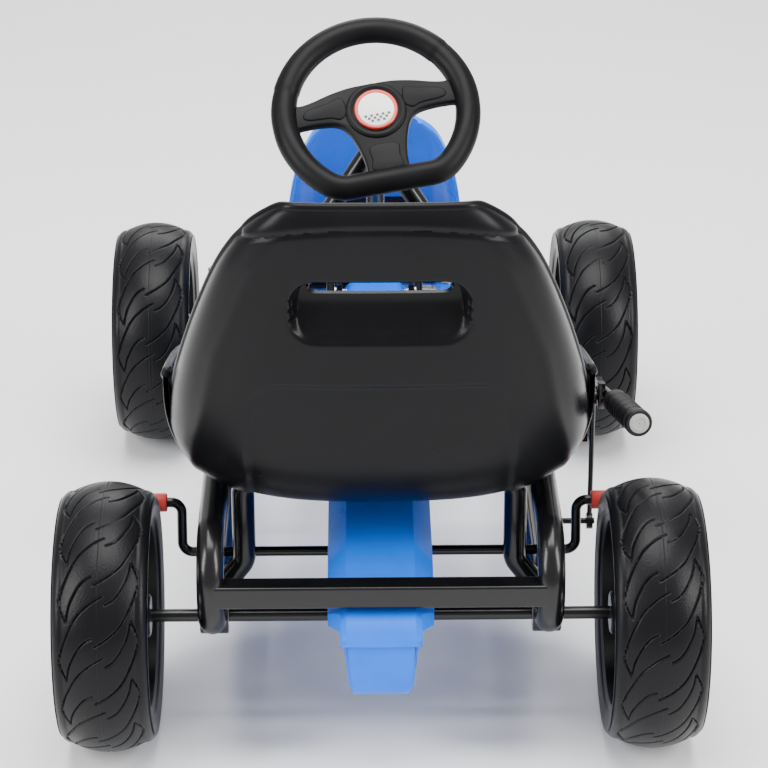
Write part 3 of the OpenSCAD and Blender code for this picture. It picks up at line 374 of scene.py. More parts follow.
def bevelled(piece, width, segments=3, angle=30):
    """Rounds the piece's edges for good."""
    modifier = piece.modifiers.new("edges", "BEVEL")
    modifier.width, modifier.segments = width, segments
    modifier.limit_method, modifier.angle_limit = "ANGLE", math.radians(angle)
    modifier.harden_normals = False
    settle(piece)
    piece.data.shade_smooth()
    piece.data.set_sharp_from_angle(angle=math.radians(35))
    return piece


def settle(piece):
    """Applies a piece's modifiers."""
    bpy.context.view_layer.update()
    solid = piece.evaluated_get(bpy.context.evaluated_depsgraph_get())
    mesh = bpy.data.meshes.new_from_object(solid)
    piece.modifiers.clear()
    piece.data = mesh


def copy_of(node, width, segments=2, angle=30, merge=0.02 * MM):
    """A copy of a CAD node with its flat faces joined up and its edges rounded."""
    source = frame["nodes"][node]
    mesh = source.data.copy()
    work = bmesh.new()
    work.from_mesh(mesh)
    bmesh.ops.remove_doubles(work, verts=work.verts, dist=merge)
    bmesh.ops.dissolve_limit(work, angle_limit=math.radians(1.5), verts=work.verts, edges=work.edges)
    work.to_mesh(mesh)
    work.free()
    piece = bpy.data.objects.new(node + "_finished", mesh)
    bpy.context.scene.collection.objects.link(piece)
    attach(piece, source["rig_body"])
    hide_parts(node)
    return bevelled(piece, width, segments, angle)


# ---- camera, floor and light ----
CAMERA_PLACE = (-0.0195, -2.5821, 1.3472)
CAMERA_FORWARD = (0.00955, 0.91336, -0.40705)
CAMERA_RIGHT = (0.99993, -0.0114, -0.0021)
LENS = 127.4
FLOOR_HALF, FLOOR_BEND, FLOOR_TOP = 9.0, 1.4, 8.0


def add_camera():
    camera = bpy.data.objects.new("camera", bpy.data.cameras.new("camera"))
    bpy.context.scene.collection.objects.link(camera)
    forward = Vector(CAMERA_FORWARD).normalized()
    right = Vector(CAMERA_RIGHT).normalized()
    up = right.cross(forward).normalized()
    right = forward.cross(up)
    turn = Matrix((right, up, -forward)).transposed().to_4x4()
    camera.matrix_world = Matrix.Translation(CAMERA_PLACE) @ turn
    camera.data.lens = LENS
    camera.data.clip_end = 60
    bpy.context.scene.camera = camera


def add_floor():
    floor = paper_sweep("floor", FLOOR_HALF, FLOOR_BEND, FLOOR_TOP)
    material = new_material("floor_paper", (0.93, 0.93, 0.93), 0.7, specular=0.2)
    vary(material, "Roughness", noise(material, 0.4), 0.6, 0.8)
    floor.data.materials.append(material)


def paper_sweep(name, half, bend, top):
    """A paper sweep: flat under the kart, and rising far behind it."""
    rows = [(-half, 0.0)] + [(half + bend * math.sin(a), bend * (1 - math.cos(a)))
                             for a in np.linspace(0, math.pi / 2, 16)] + [(half + bend, top)]
    points = [(x, y, z) for y, z in rows for x in (-half, half)]
    mesh = bpy.data.meshes.new(name)
    mesh.from_pydata(points, [], [tuple(int(i) for i in f) for f in grid_faces(len(rows), 2)])
    mesh.shade_smooth()
    floor = bpy.data.objects.new(name, mesh)
    bpy.context.scene.collection.objects.link(floor)
    return floor


def add_softbox(name, place, aim, size, watts):
    light = bpy.data.lights.new(name, "AREA")
    light.shape = "RECTANGLE"
    light.size, light.size_y = size
    light.energy = watts
    lamp = bpy.data.objects.new(name, light)
    lamp.location = place
    lamp.rotation_euler = (Vector(aim) - Vector(place)).to_track_quat("-Z", "Y").to_euler()
    bpy.context.scene.collection.objects.link(lamp)


def add_light():
    add_softbox("softbox_left", (-2.3, -1.5, 1.7), (0, 0, 0.25), (0.9, 1.9), 78)
    add_softbox("softbox_right", (2.3, -1.5, 1.7), (0, 0, 0.25), (0.9, 1.9), 78)
    add_softbox("softbox_top", (0, -0.3, 3.2), (0, 0, 0), (2.4, 2.0), 150)
    add_softbox("softbox_front", (0, 3.0, 2.4), (0, 0, 0.3), (2.6, 1.4), 60)
    world = bpy.data.worlds.new("studio")
    world.use_nodes = True
    world.node_tree.nodes["Background"].inputs["Color"].default_value = (1, 1, 1, 1)
    world.node_tree.nodes["Background"].inputs["Strength"].default_value = 0.7
    bpy.context.scene.world = world


add_camera()
add_floor()
add_light()


# ---- frame tubes ----
RAIL_X = 154
CUP_Z, FLOOR_Z, LOOP_Z = 131, 96, 221
HOOP_AHEAD, HOOP_X, HOOP_Z = 97, 129.5, 222.5
BEAM_LOW_Z, BEAM_HIGH_Z = 112, 164
LOOP_BEND, RAIL_BEND, HOOP_BEND = 45 * MM, 30 * MM, 20 * MM
BEAM_BEND, BUMPER_BEND, STAY_BEND = 25 * MM, 26 * MM, 14 * MM
HOOP_R, STAY_R = 11 * MM, 5 * MM


def side_tubes(side, word):
    """The loop beside the seat and the rail under it, which meet at the bearing cup."""
    x = side * RAIL_X
    loop = [at(x, 0, CUP_Z), at(x, -55, CUP_Z), at(x, -55, LOOP_Z), at(x, 392, LOOP_Z),
            at(x, 467, FLOOR_Z)]
    rail = [at(x, 0, CUP_Z), at(x, 24, CUP_Z), at(x, 78, FLOOR_Z), at(x, 570, FLOOR_Z),
            at(x, 640, BEAM_HIGH_Z), at(x, WHEELBASE, BEAM_HIGH_Z)]
    tube(f"loop_{word}", bent_line(loop, LOOP_BEND), RAIL_R, "frame", "frame_paint",
         [f"side_loop_{word}"])
    tube(f"rail_{word}", bent_line(rail, RAIL_BEND), RAIL_R, "frame", "frame_paint",
         [f"lower_rail_{word}"])


def both_ways(half):
    """A line of points from the left end to the middle, and on to the right end."""
    return [at(-x, ahead, z) for x, ahead, z in half] + [at(*point) for point in half[::-1]]


def cross_tubes():
    """The seat hoop, the front beam, the bumper and the wire stay that holds the fairing."""
    hoop = [(RAIL_X, HOOP_AHEAD, 100), (HOOP_X, HOOP_AHEAD, 132), (HOOP_X, HOOP_AHEAD, HOOP_Z)]
    beam = [(177.5, WHEELBASE, BEAM_HIGH_Z), (126, WHEELBASE, BEAM_HIGH_Z), (92, WHEELBASE, BEAM_LOW_Z)]
    bumper = [(60, WHEELBASE, BEAM_LOW_Z), (138, 798.5, BEAM_LOW_Z), (104, 840.5, BEAM_LOW_Z)]
    stay = [(50, WHEELBASE, BEAM_LOW_Z), (50, 661, 290)]
    tube("hoop", bent_line(both_ways(hoop), HOOP_BEND), HOOP_R, "frame", "frame_paint", ["seat_hoop"])
    tube("beam", bent_line(both_ways(beam), BEAM_BEND), RAIL_R, "frame", "frame_paint", ["front_beam"])
    tube("bumper_bar", bent_line(both_ways(bumper), BUMPER_BEND), RAIL_R, "frame", "frame_paint",
         ["bumper"])
    tube("stay", bent_line(both_ways(stay), STAY_BEND), STAY_R, "frame", "frame_paint",
         ["fairing_stay"], sides=24)


side_tubes(-1, "left")
side_tubes(1, "right")
cross_tubes()


def square_bar(name, centre, half_length, width, body, slot, replaced):
    """A square tube across the kart with rounded edges."""
    r = 3.0 * MM
    h = width / 2
    section = []
    for cy, cz, start in ((h - r, h - r, 0), (-h + r, h - r, 90), (-h + r, -h + r, 180),
                          (h - r, -h + r, 270)):
        for a in np.linspace(start, start + 90, 7):
            section.append((cy + r * math.cos(math.radians(a)), cz + r * math.sin(math.radians(a))))
    ends = np.array([-half_length, half_length])
    points = [(centre[0] + x, centre[1] + y, centre[2] + z) for x in ends for y, z in section]
    faces = [tuple(f) for f in grid_faces(2, len(section), wrap_columns=True)]
    return mesh_piece(name, points, faces, body, slot, replaced)


bar_low, bar_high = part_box("rear_cross_bar")
square_bar("cross_bar", (bar_low + bar_high) / 2, 153 * MM, bar_high.z - bar_low.z, "frame",
           "frame_paint", ["rear_cross_bar"])


def plain_box(name, corner, opposite, body, slot, edge):
    """A flat bar with rounded edges."""
    x, y, z = zip(corner, opposite)
    points = [(x[i], y[j], z[k]) for i in (0, 1) for j in (0, 1) for k in (0, 1)]
    faces = [(0, 1, 3, 2), (4, 6, 7, 5), (0, 4, 5, 1), (2, 3, 7, 6), (0, 2, 6, 4), (1, 5, 7, 3)]
    bevelled(mesh_piece(name, points, faces, body, slot), edge)


def brake_parts():
    """The brake's cross rod with an arm to each pad, and the tail and pin that the link rod pulls."""
    pad_low, pad_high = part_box("brake_pads")
    pad_y, pad_z = (pad_low.y + pad_high.y) / 2, (pad_low.z + pad_high.z) / 2
    rod_y, rod_z = REAR_Y + 118 * MM, AXLE_Z + 5 * MM
    arm_x, out_x = 190 * MM, pad_high.x
    line = bent_line([(-out_x, pad_y, pad_z), (-arm_x, pad_y, pad_z), (-arm_x, rod_y, rod_z),
                      (arm_x, rod_y, rod_z), (arm_x, pad_y, pad_z), (out_x, pad_y, pad_z)], 10 * MM)
    tube("brake_rod", line, 4.8 * MM, "brake", "frame_paint", ["brake_bar"], sides=28)
    plain_box("brake_tail", (172.5 * MM, REAR_Y + 111 * MM, AXLE_Z - 2 * MM),
              (177.5 * MM, REAR_Y + 185 * MM, AXLE_Z + 12 * MM), "brake", "frame_paint", 1.2 * MM)
    pin = np.array([(x * MM, REAR_Y + 178 * MM, rod_z) for x in (173, 192, 213)])
    tube("brake_pin", pin, 3 * MM, "brake", "frame_paint", sides=20)


brake_parts()


# ---- tyres ----
PITCHES = 14
SIPE_DEPTH = 1.7 * MM
# One leaf of the tread on the left half: distance across from the middle, and along, in mm
LEAF_OUTER = [(-29.5, 0), (-36.2, 16), (-34.2, 30), (-28.5, 45), (-20, 61), (-10, 71), (-3, 76), (4, 80)]
LEAF_INNER = [(-29.5, 0), (-26.5, 15), (-20, 29), (-13.5, 37.5), (-6, 42)]
LEAF_OFFSET = 58.0


def tyre_section():
    """Radius, place across the tyre and distance along the surface from its middle."""
    crown, shoulder, half = 8.5 * MM, 10 * MM, TYRE_W / 2
    flat = half - shoulder
    rim_r = 90 * MM
    right = []
    for x in np.linspace(0, flat, 50):
        right.append((TYRE_R - crown * (x / flat) ** 2, x))
    for a in np.radians(np.linspace(8, 90, 14)):
        right.append((TYRE_R - crown - shoulder + shoulder * math.cos(a), flat + shoulder * math.sin(a)))
    for r, x in ((rim_r + 20.5 * MM, half), (rim_r + 16 * MM, half - 0.2 * MM),
                 (rim_r + 12 * MM, half - 0.9 * MM), (rim_r + 6 * MM, half - 1.6 * MM),
                 (rim_r + 3 * MM, half - 2.4 * MM), (rim_r + 0.6 * MM, half - 4.5 * MM),
                 (rim_r - 0.3 * MM, half - 7 * MM)):
        right.append((r, x))
    section = np.array([(r, -x) for r, x in right[:0:-1]] + right)
    steps = np.linalg.norm(np.diff(section, axis=0), axis=1)
    along = np.concatenate([[0], np.cumsum(steps)])
    return section, along - along[len(section) // 2]


def sipe_depth(across, along, pitch):
    """How deep the tread is cut at each point, in shares of the full depth."""
    outer = curve_through(LEAF_OUTER, 16)
    inner = curve_through(LEAF_INNER, 16)
    lines = [outer, inner, [0, LEAF_OFFSET] - outer, [0, LEAF_OFFSET] - inner]
    nearest = np.full(across.shape, 1e9)
    for line in lines:
        for shift in range(-3, 4):
            for x, s in line:
                gap = (across - x) ** 2 + (along - (s + shift * pitch)) ** 2
                nearest = np.minimum(nearest, gap)
    gap = np.sqrt(nearest)
    return 1 - smoothstep(gap, 0.35, 1.15)


def make_tyre():
    """The points and faces of one foam tyre round the X axis, with its sipes cut in."""
    section, across = tyre_section()
    per_pitch = 74
    count = PITCHES * per_pitch
    pitch = 2 * math.pi * TYRE_R / MM / PITCHES
    x, s = np.meshgrid(across / MM, -np.arange(per_pitch) * pitch / per_pitch, indexing="xy")
    cut = sipe_depth(x, s, pitch)
    seam = 0.3 * np.exp(-(x / 0.7) ** 2) - 0.35 * np.exp(-((np.abs(x) - 1.6) / 0.6) ** 2)
    tread = (1 - smoothstep(np.abs(x), 40, 43))
    drop = np.tile((cut * SIPE_DEPTH - seam * 0.5 * MM) * tread, (PITCHES, 1))
    radius = section[None, :, 0] - drop
    turn = (np.arange(count) * 2 * math.pi / count)[:, None]
    points = np.stack([np.broadcast_to(section[None, :, 1], radius.shape), radius * np.cos(turn),
                       radius * np.sin(turn)], axis=2)
    return points.reshape(-1, 3), grid_faces(count, len(section), wrap_rows=True)


tyre_points, tyre_faces = make_tyre()
for node, body, side, y in (("rear_tyre_left", "rear_axle_set", -1, REAR_Y),
                            ("rear_tyre_right", "rear_axle_set", 1, REAR_Y),
                            ("front_tyre_left", "left_front_wheel", -1, FRONT_Y),
                            ("front_tyre_right", "right_front_wheel", 1, FRONT_Y)):
    mesh_piece(node + "_foam", tyre_points + np.array([side * WHEEL_X, y, AXLE_Z]), tyre_faces, body,
               "tyre_foam", [node], sharp=60)


# ---- seat ----
HALF = (high("seat").x - low("seat").x) / 2
SEAT_H = SEAT_TOP_Z - SEAT_LOW_Z
SEAT_WALL = 5 * MM
# Sections from the top of the back, down the back and forward along the base:
# place ahead of the axle and height, direction that the sides turn to, half width, depth of the sides
SEAT_SECTIONS = [
    (-72, SEAT_H, -8, 0.43, 16), (-77, SEAT_H * 0.95, -7, 0.545, 36),
    (-76, SEAT_H * 0.88, -5, 0.635, 50), (-71, SEAT_H * 0.77, -3, 0.73, 62),
    (-62, SEAT_H * 0.58, 0, 0.84, 76),
    (-50, SEAT_H * 0.36, 6, 0.93, 92), (-34, SEAT_H * 0.16, 18, 0.97, 112),
    (-8, SEAT_H * 0.035, 48, 0.985, 128), (34, 0, 76, 1.0, 112),
    (110, 0, 88, 1.0, 96), (200, 0, 90, 0.98, 74),
    (282, 1 * MM, 92, 0.93, 44), (318, 8 * MM, 96, 0.86, 20),
]
SLOT_Z = SEAT_LOW_Z + SEAT_H * 0.735
SLOT_LIFT = 6.5 * MM
# Half width, half height and corner radius of the slot
SLOT_SHAPE = (64 * MM, 7.5 * MM, 7 * MM)
BEAD_R = 4.6 * MM
# The back lies behind this distance ahead of the rear axle
BACK_REACH = 20 * MM
ROWS_DOWN, COLUMNS_ACROSS = 330, 241


def round_box(x, z, half_w, half_h, radius):
    """Signed distance to a rounded rectangle, less than 0 inside."""
    dx, dz = np.abs(x) - half_w + radius, np.abs(z) - half_h + radius
    return np.hypot(np.maximum(dx, 0), np.maximum(dz, 0)) + np.minimum(np.maximum(dx, dz), 0) - radius


def bucket_points(sections, rows_between, across, flatness, inset):
    """Rows of points over a bucket-shaped shell, at an inset from its outside."""
    rows = curve_through(sections, rows_between)
    out = np.zeros((len(rows), len(across), 3))
    for i, (y, z, turn, half, depth) in enumerate(rows):
        a = np.abs(across) * math.pi / 2
        out[i, :, 0] = (half - inset) * np.sin(a) ** (2 / flatness) * np.sign(across)
        deep = inset + (depth - inset) * (1 - np.clip(np.cos(a), 0, 1) ** (2 / flatness))
        out[i, :, 1] = y + deep * math.cos(math.radians(turn))
        out[i, :, 2] = z + deep * math.sin(math.radians(turn))
    return out


def even_rows(points, count):
    """The same surface with its rows spaced evenly down its middle."""
    middle_line = points[:, points.shape[1] // 2]
    steps = np.linalg.norm(np.diff(middle_line, axis=0), axis=1)
    along = np.concatenate([[0], np.cumsum(steps)])
    wanted = np.linspace(0, along[-1], count)
    out = np.empty((count, points.shape[1], 3))
    for j in range(points.shape[1]):
        for k in range(3):
            out[:, j, k] = np.interp(wanted, along, points[:, j, k])
    return out


def surface_normals(points):
    """Unit normals of a grid of points."""
    return unit(np.cross(np.gradient(points, axis=1), np.gradient(points, axis=0)))


def make_seat():
    """The seat's outer and inner skins, with the reliefs of its back."""
    sections = [(REAR_Y + y * MM, SEAT_LOW_Z + z, turn, HALF * half, depth * MM)
                for y, z, turn, half, depth in SEAT_SECTIONS]
    t = np.linspace(-1, 1, COLUMNS_ACROSS)
    across = np.sign(t) * (1 - (1 - np.abs(t)) ** 1.25)
    outer = even_rows(bucket_points(sections, 24, across, 3, 0), ROWS_DOWN)
    inner = even_rows(bucket_points(sections, 24, across, 3, SEAT_WALL), ROWS_DOWN)
    x, z = outer[:, :, 0] / MM, (outer[:, :, 2] - SEAT_LOW_Z) / MM
    back = outer[:, :, 1] < REAR_Y + BACK_REACH
    outward = -surface_normals(outer)
    if outward[ROWS_DOWN // 8, COLUMNS_ACROSS // 2, 1] > 0:
        outward = -outward
    relief = np.zeros(x.shape)
    # The rolled top edge, with a crease under it that sinks towards the corners
    from_top = SEAT_H / MM - z
    crease = 17 + 10 * (np.abs(x) / 100) ** 2.4
    lip = smoothstep(crease - from_top, -0.8, 1.6)
    relief += 0.9 * lip - 1.5 * np.exp(-((from_top - crease - 1.2) / 2.4) ** 2)
    relief -= 2.0 * np.clip(1 - from_top / 9, 0, 1) ** 2
    # The hand pocket: a rounded hollow that is deepest under its top edge
    pocket_z = z - (SLOT_Z - SEAT_LOW_Z) / MM + 14
    pocket = round_box(x, pocket_z, 79, 31, 24)
    slope = 0.25 + 0.75 * smoothstep(pocket_z, -31, 8)
    relief -= 19 * slope * (1 - smoothstep(pocket, -6.5, 1.0)) * back
    # The lower back panel, drawn by a soft step
    panel = round_box(x, z - 62, 120, 86, 34)
    relief -= 2.0 * (1 - smoothstep(panel, -4, 1.5)) * back
    # The corner between the back and each side
    corner_share = np.interp(from_top, [0, 60, 150, 260, 320], [0.36, 0.55, 0.73, 0.84, 0.88])
    corner = np.abs(x) - (HALF / MM) * corner_share
    relief += 1.6 * np.exp(-(corner / 7) ** 2) * back * smoothstep(from_top, 14, 60)
    room = np.interp(np.abs(x), [0, HALF / MM - 2, HALF / MM], [1, 1, 0])
    outer = outer + outward * (relief * room)[:, :, None] * MM
    dip = np.minimum(relief, 0)
    inner = inner + outward * (dip * back)[:, :, None] * MM
    return outer, inner


def seat_piece():
    """The seat's shell, with the slot cut through its back."""
    outer, inner = make_seat()
    hole_x, hole_z = outer[:, :, 0], outer[:, :, 2] - SLOT_Z - SLOT_LIFT
    near_back = outer[:, :, 1] < REAR_Y + BACK_REACH
    gap = np.where(near_back, round_box(hole_x, hole_z, *SLOT_SHAPE), 1.0)
    # Points next to the hole's edge move onto it
    step = 1e-5
    slope_x = round_box(hole_x + step, hole_z, *SLOT_SHAPE) - gap
    slope_z = round_box(hole_x, hole_z + step, *SLOT_SHAPE) - gap
    close = (np.abs(gap) < 1.1 * MM) & near_back
    for grid in (outer, inner):
        grid[:, :, 0] -= np.where(close, gap * slope_x / step, 0)
        grid[:, :, 2] -= np.where(close, gap * slope_z / step, 0)
    gap = np.where(close, 0.0, gap)
    quads = grid_faces(*gap.shape)
    points, faces = closed_skins(outer, inner, quads[gap.ravel()[quads].mean(axis=1) > 0])
    clean(mesh_piece("seat_shell", points, faces, "frame", "seat_plastic", ["seat"], sharp=48))
    seat_bead((outer + inner) / 2)


def seat_bead(edge):
    """The rolled bead round the seat's whole edge, along the middle of its wall."""
    line = np.concatenate([edge[::-1, 0], edge[0, 1:], edge[1:, -1], edge[-1, -2:0:-1]])
    steps = np.linalg.norm(np.roll(line, -1, 0) - line, axis=1)
    along = np.concatenate([[0], np.cumsum(steps)])
    wanted = np.arange(0, along[-1], 4 * MM)
    loop = np.stack([np.interp(wanted, along, np.append(line[:, k], line[0, k])) for k in range(3)],
                    axis=1)
    for _ in range(3):
        loop = (np.roll(loop, 1, 0) + 2 * loop + np.roll(loop, -1, 0)) / 4
    rings = tube_rings(loop, BEAD_R, 20, closed=True)
    mesh_piece("seat_edge", rings.reshape(-1, 3), grid_faces(len(loop), 20, True, True), "frame",
               "seat_plastic")


seat_piece()


# ---- steering wheel ----
WHEEL_TURN = math.radians(11)
RIM_LINE = 90.5
RIM_R = 13.0
FLAT = 0.83 * RIM_LINE
CORNER_R = RIM_LINE / 3


def wheel_place(points):
    """Points in mm in the steering wheel's own frame, moved to where the wheel is."""
    axes = np.array([(1, 0, 0), (0, math.sqrt(0.5), math.sqrt(0.5)), (0, -math.sqrt(0.5), math.sqrt(0.5))])
    points = np.array(points, float)
    c, s = math.cos(WHEEL_TURN), math.sin(WHEEL_TURN)
    turned = np.stack([points[..., 0] * c - points[..., 1] * s, points[..., 0] * s + points[..., 1] * c,
                       points[..., 2]], axis=-1)
    return turned @ axes * MM + np.array(COLUMN_TOP)


def rim_middle():
    """Middle points and outward directions round the D-shaped rim, in mm."""
    corner_x = math.sqrt((RIM_LINE - CORNER_R) ** 2 - (FLAT - CORNER_R) ** 2)
    corner_a = math.degrees(math.atan2(FLAT - CORNER_R, corner_x))
    out = []
    for c, r, start, end, steps in (((corner_x, CORNER_R - FLAT), CORNER_R, -90, -corner_a, 14),
                                    ((0, 0), RIM_LINE, -corner_a, 180 + corner_a, 120),
                                    ((-corner_x, CORNER_R - FLAT), CORNER_R, 180 + corner_a, 270, 14)):
        for i in range(steps + 1):
            a = math.radians(start + (end - start) * i / steps)
            out.append((c[0] + r * math.cos(a), c[1] + r * math.sin(a), math.cos(a), math.sin(a)))
    flat = np.linspace(-corner_x, corner_x, 24)[1:-1]
    out += [(x, -FLAT, 0.0, -1.0) for x in flat]
    rows = [out[0]]
    for row in out[1:]:
        if math.hypot(row[0] - rows[-1][0], row[1] - rows[-1][1]) > 0.05:
            rows.append(row)
    return np.array(rows)


def steering_rim():
    """The D-shaped rim, thicker along its upper grip."""
    rows = rim_middle()
    angle = np.degrees(np.arctan2(rows[:, 1], rows[:, 0]))
    sides = 40
    k = np.arange(sides) * 2 * math.pi / sides
    # Moulded steps where the upper grip starts and ends, and a swell under each thumb
    upper = smoothstep(angle, 34, 36) * (1 - smoothstep(angle, 155, 157))
    thumbs = np.exp(-((angle - 12) / 14) ** 2) + np.exp(-((np.abs(angle) - 168) / 14) ** 2)
    radius = RIM_R * (1 - 0.045 * (1 - upper) + 0.03 * thumbs) - 0.35 * (
        np.exp(-((angle - 35) / 0.9) ** 2) + np.exp(-((angle - 156) / 0.9) ** 2))
    across = radius[:, None] * np.cos(k) * (1 + 0.04 * np.cos(k))
    points = np.stack([rows[:, 0, None] + across * rows[:, 2, None],
                       rows[:, 1, None] + across * rows[:, 3, None],
                       radius[:, None] * np.sin(k) * 0.97], axis=-1)
    mesh_piece("wheel_rim", wheel_place(points).reshape(-1, 3),
               grid_faces(len(rows), sides, True, True)[:, ::-1], "steering_set", "wheel_plastic",
               ["steering_wheel"], sharp=60)


def slab(name, outline, bottom, top, slot, edge, segments=4, material=None):
    """A plate on the steering wheel with rounded edges, from an outline in mm and two heights."""
    outline = np.array(outline)
    count = len(outline)
    points = [(x, y, z) for z in (bottom, top) for x, y in outline]
    faces = [tuple(range(count - 1, -1, -1)), tuple(range(count, 2 * count))]
    faces += [(i, (i + 1) % count, (i + 1) % count + count, i + count) for i in range(count)]
    piece = mesh_piece(name, wheel_place(points), faces, "steering_set", slot, material=material)
    return bevelled(piece, edge, segments, 40)


def steering_spokes():
    """The three spokes as one plate, with a raised inlay on each."""
    right = [(0, 31), (22, 30.5), (42, 27), (60, 22), (74, 20), (84, 24), (90, 20), (90, 8), (88, -6),
             (74, -5), (56, -5), (40, -8), (31, -17), (25, -33), (21.5, -50), (21, -64), (23, -72),
             (20, -77), (0, -77)]
    outline = right + [(-x, y) for x, y in right[-2:0:-1]]
    smooth = curve_through(outline, 5, closed=True)
    slab("wheel_spokes", smooth, -7.5, 3.2, "wheel_plastic", 2.6)
    left_inlay = [(-31, 20), (-46, 17), (-66, 13), (-72, 6), (-66, 1.5), (-46, 0), (-36, -3), (-29, 4)]
    for sign, word in ((1, "left"), (-1, "right")):
        outline = [(x * sign, y) for x, y in left_inlay][::sign]
        slab(f"wheel_inlay_{word}", curve_through(outline, 5, closed=True), 2.0, 4.4, "wheel_plastic",
             1.1)
    foot = [(-13, -38), (-14, -52), (-14, -64), (14, -64), (14, -52), (13, -38)]
    slab("wheel_inlay_low", curve_through(foot[::-1], 5, closed=True)[::-1], 2.0, 4.4, "wheel_plastic",
         1.1)


def turned_on_wheel(name, profile, slot, sides=72, material=None):
    """A turned piece on the steering wheel's axis. The profile is [radius, height] in mm."""
    k = np.arange(sides) * 2 * math.pi / sides
    points = [(r * math.cos(a), r * math.sin(a), z) for r, z in profile for a in k]
    return mesh_piece(name, wheel_place(np.array(points)), grid_faces(len(profile), sides, wrap_columns=True),
                      "steering_set", slot, material=material)


def steering_hub():
    """The hub, and the badge on it: a red ring, a white disc and dark tiles."""
    hub = [(0.5, -22), (27, -22), (29, -20), (30, -8), (30, 0), (30.5, 2.6), (29.5, 4.6), (27.5, 5.6),
           (25, 5.4), (23.2, 4.4), (22.2, 4.4), (0.5, 4.4)]
    turned_on_wheel("wheel_hub", hub, "wheel_plastic")
    turned_on_wheel("badge_ring", [(18.0, 4.4), (18.0, 7.0), (18.6, 7.5), (20.4, 7.5), (21.2, 6.9),
                                   (21.4, 4.4)], "badge", material=MATERIALS["badge"])
    face = turned_on_wheel("badge_face", [(18.3, 4.6), (18.3, 6.6), (17.6, 6.9), (0.4, 7.05)], "badge",
                           material=badge_white)
    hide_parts("wheel_badge")
    # A plain chequered band of tiles across the lower half of the disc
    tile = 2.9
    for row in range(3):
        for column in range(-5, 6):
            x, y = column * tile, -6.4 - row * tile
            if (row + column) % 2 or math.hypot(abs(x) + tile * 0.55, abs(y) + tile * 0.55) > 17.4:
                continue
            half = tile * 0.47
            outline = [(x - half, y - half), (x + half, y - half), (x + half, y + half),
                       (x - half, y + half)]
            slab(f"badge_tile_{row}_{column + 5}", outline, 6.7, 7.3, "badge", 0.1, segments=1,
                 material=badge_black)


steering_rim()
steering_spokes()
steering_hub()


# ---- chain covers ----
CRANK = (530.0, 185.0)
COVER_HALF = (high("upper_cover").x - low("upper_cover").x) / 2 / MM
LOWER_HALF = (high("lower_cover").x - low("lower_cover").x) / 2 / MM
SPLIT_REAR, SPLIT_FRONT = (-82.0, 136.0), (592.0, 179.0)


def split_height(ahead):
    """Height of the line where the two covers meet."""
    share = (ahead - SPLIT_REAR[0]) / (SPLIT_FRONT[0] - SPLIT_REAR[0])
    return SPLIT_REAR[1] + share * (SPLIT_FRONT[1] - SPLIT_REAR[1])


def arc_points(centre, radius, start, end, steps):
    return [(centre[0] + radius * math.cos(a), centre[1] + radius * math.sin(a))
            for a in np.radians(np.linspace(start, end, steps))]


def cover_shell(name, profile, half_width, strip_half, drop, replaced, wall=2.2, edge=3.0, taper=0.0):
    """A cover with a flat strip along its profile, a slanted flank each side and straight walls."""
    profile = np.array(profile)
    ways = unit(np.gradient(profile, axis=0))
    normals = np.stack([-ways[:, 1], ways[:, 0]], axis=1)
    if normals[len(normals) // 2] @ (profile[len(profile) // 2] - (250, 150)) < 0:
        normals = -normals
    points = []
    for (y, z), n in zip(profile, normals):
        h, t, d = half_width(y), strip_half(y), drop(y)
        low_y, low_z = y, split_height(y)
        side = (y - n[0] * d, z - n[1] * d)
        if (side[1] - low_z) * (z - low_z) <= 0 or abs(side[1] - low_z) < 0.5:
            side = (y, low_z + 0.5 * np.sign(z - low_z))
        row = [(-h, low_y, low_z), (-h, *side), (-t, y, z), (0, y, z), (t, y, z), (h, *side),
               (h, low_y, low_z)]
        points += [at(x * (1 - taper * (low_z - pz) / 70), py, pz) for x, py, pz in row]
    faces = [tuple(int(i) for i in f) for f in grid_faces(len(profile), 7)]
    piece = mesh_piece(name, points, faces, "frame", "blue_plastic", replaced)
    clean(piece)
    thick = piece.modifiers.new("wall", "SOLIDIFY")
    thick.thickness, thick.offset = wall * MM, 0
    return bevelled(piece, edge * MM, 4, 22)


def upper_profile():
    deck = curve_through([(-82, 136), (-80, 143), (-72, 151), (-62, 157), (-40, 163), (-16, 173), (6, 184),
                          (30, 188.5), (90, 191), (200, 201), (330, 216), (440, 231), (500, 241)], 4)
    return [tuple(p) for p in deck] + arc_points(CRANK, 59, 103, -4, 22)


def upper_half(y):
    full = COVER_HALF - 1.3
    rear = 36 + (full - 36) * float(smoothstep(y, -58, -44))
    return rear + (31.5 - rear) * float(smoothstep(y, 262, 356))


def upper_strip(y):
    return 31 + (22 - 31) * float(smoothstep(y, 262, 356))


def upper_drop(y):
    return 3.5 + 12.5 * float(smoothstep(y, -58, -40)) - 6 * float(smoothstep(y, 262, 356))


cover_shell("cover_top", upper_profile(), upper_half, upper_strip, upper_drop, ["upper_cover"], edge=2.2)


def lower_profile():
    rear = [(-78, 135), (-78, 120), (-77, 104), (-74, 90), (-66, 79.5), (-54, 74), (-40, 73)]
    run = curve_through(rear, 4)
    belly = [(26, 73), (120, 80.5), (220, 89), (320, 98), (420, 110), (500, 121)]
    return [tuple(p) for p in run] + belly + arc_points(CRANK, 59, -84, -10, 14)


def lower_half(y):
    return LOWER_HALF - 1.2 + (29 - LOWER_HALF) * float(smoothstep(y, 262, 356))


def lower_strip(y):
    return 29.5 - 7 * float(smoothstep(y, -50, 40)) - 2.5 * float(smoothstep(y, 262, 356))


def lower_drop(y):
    return 5 + 13 * float(smoothstep(y, -50, 40))


cover_shell("cover_low", lower_profile(), lower_half, lower_strip, lower_drop, ["lower_cover"],
            edge=3.5, taper=0.2)


# ---- nose fairing ----
NOSE_Y = WHEELBASE - 125
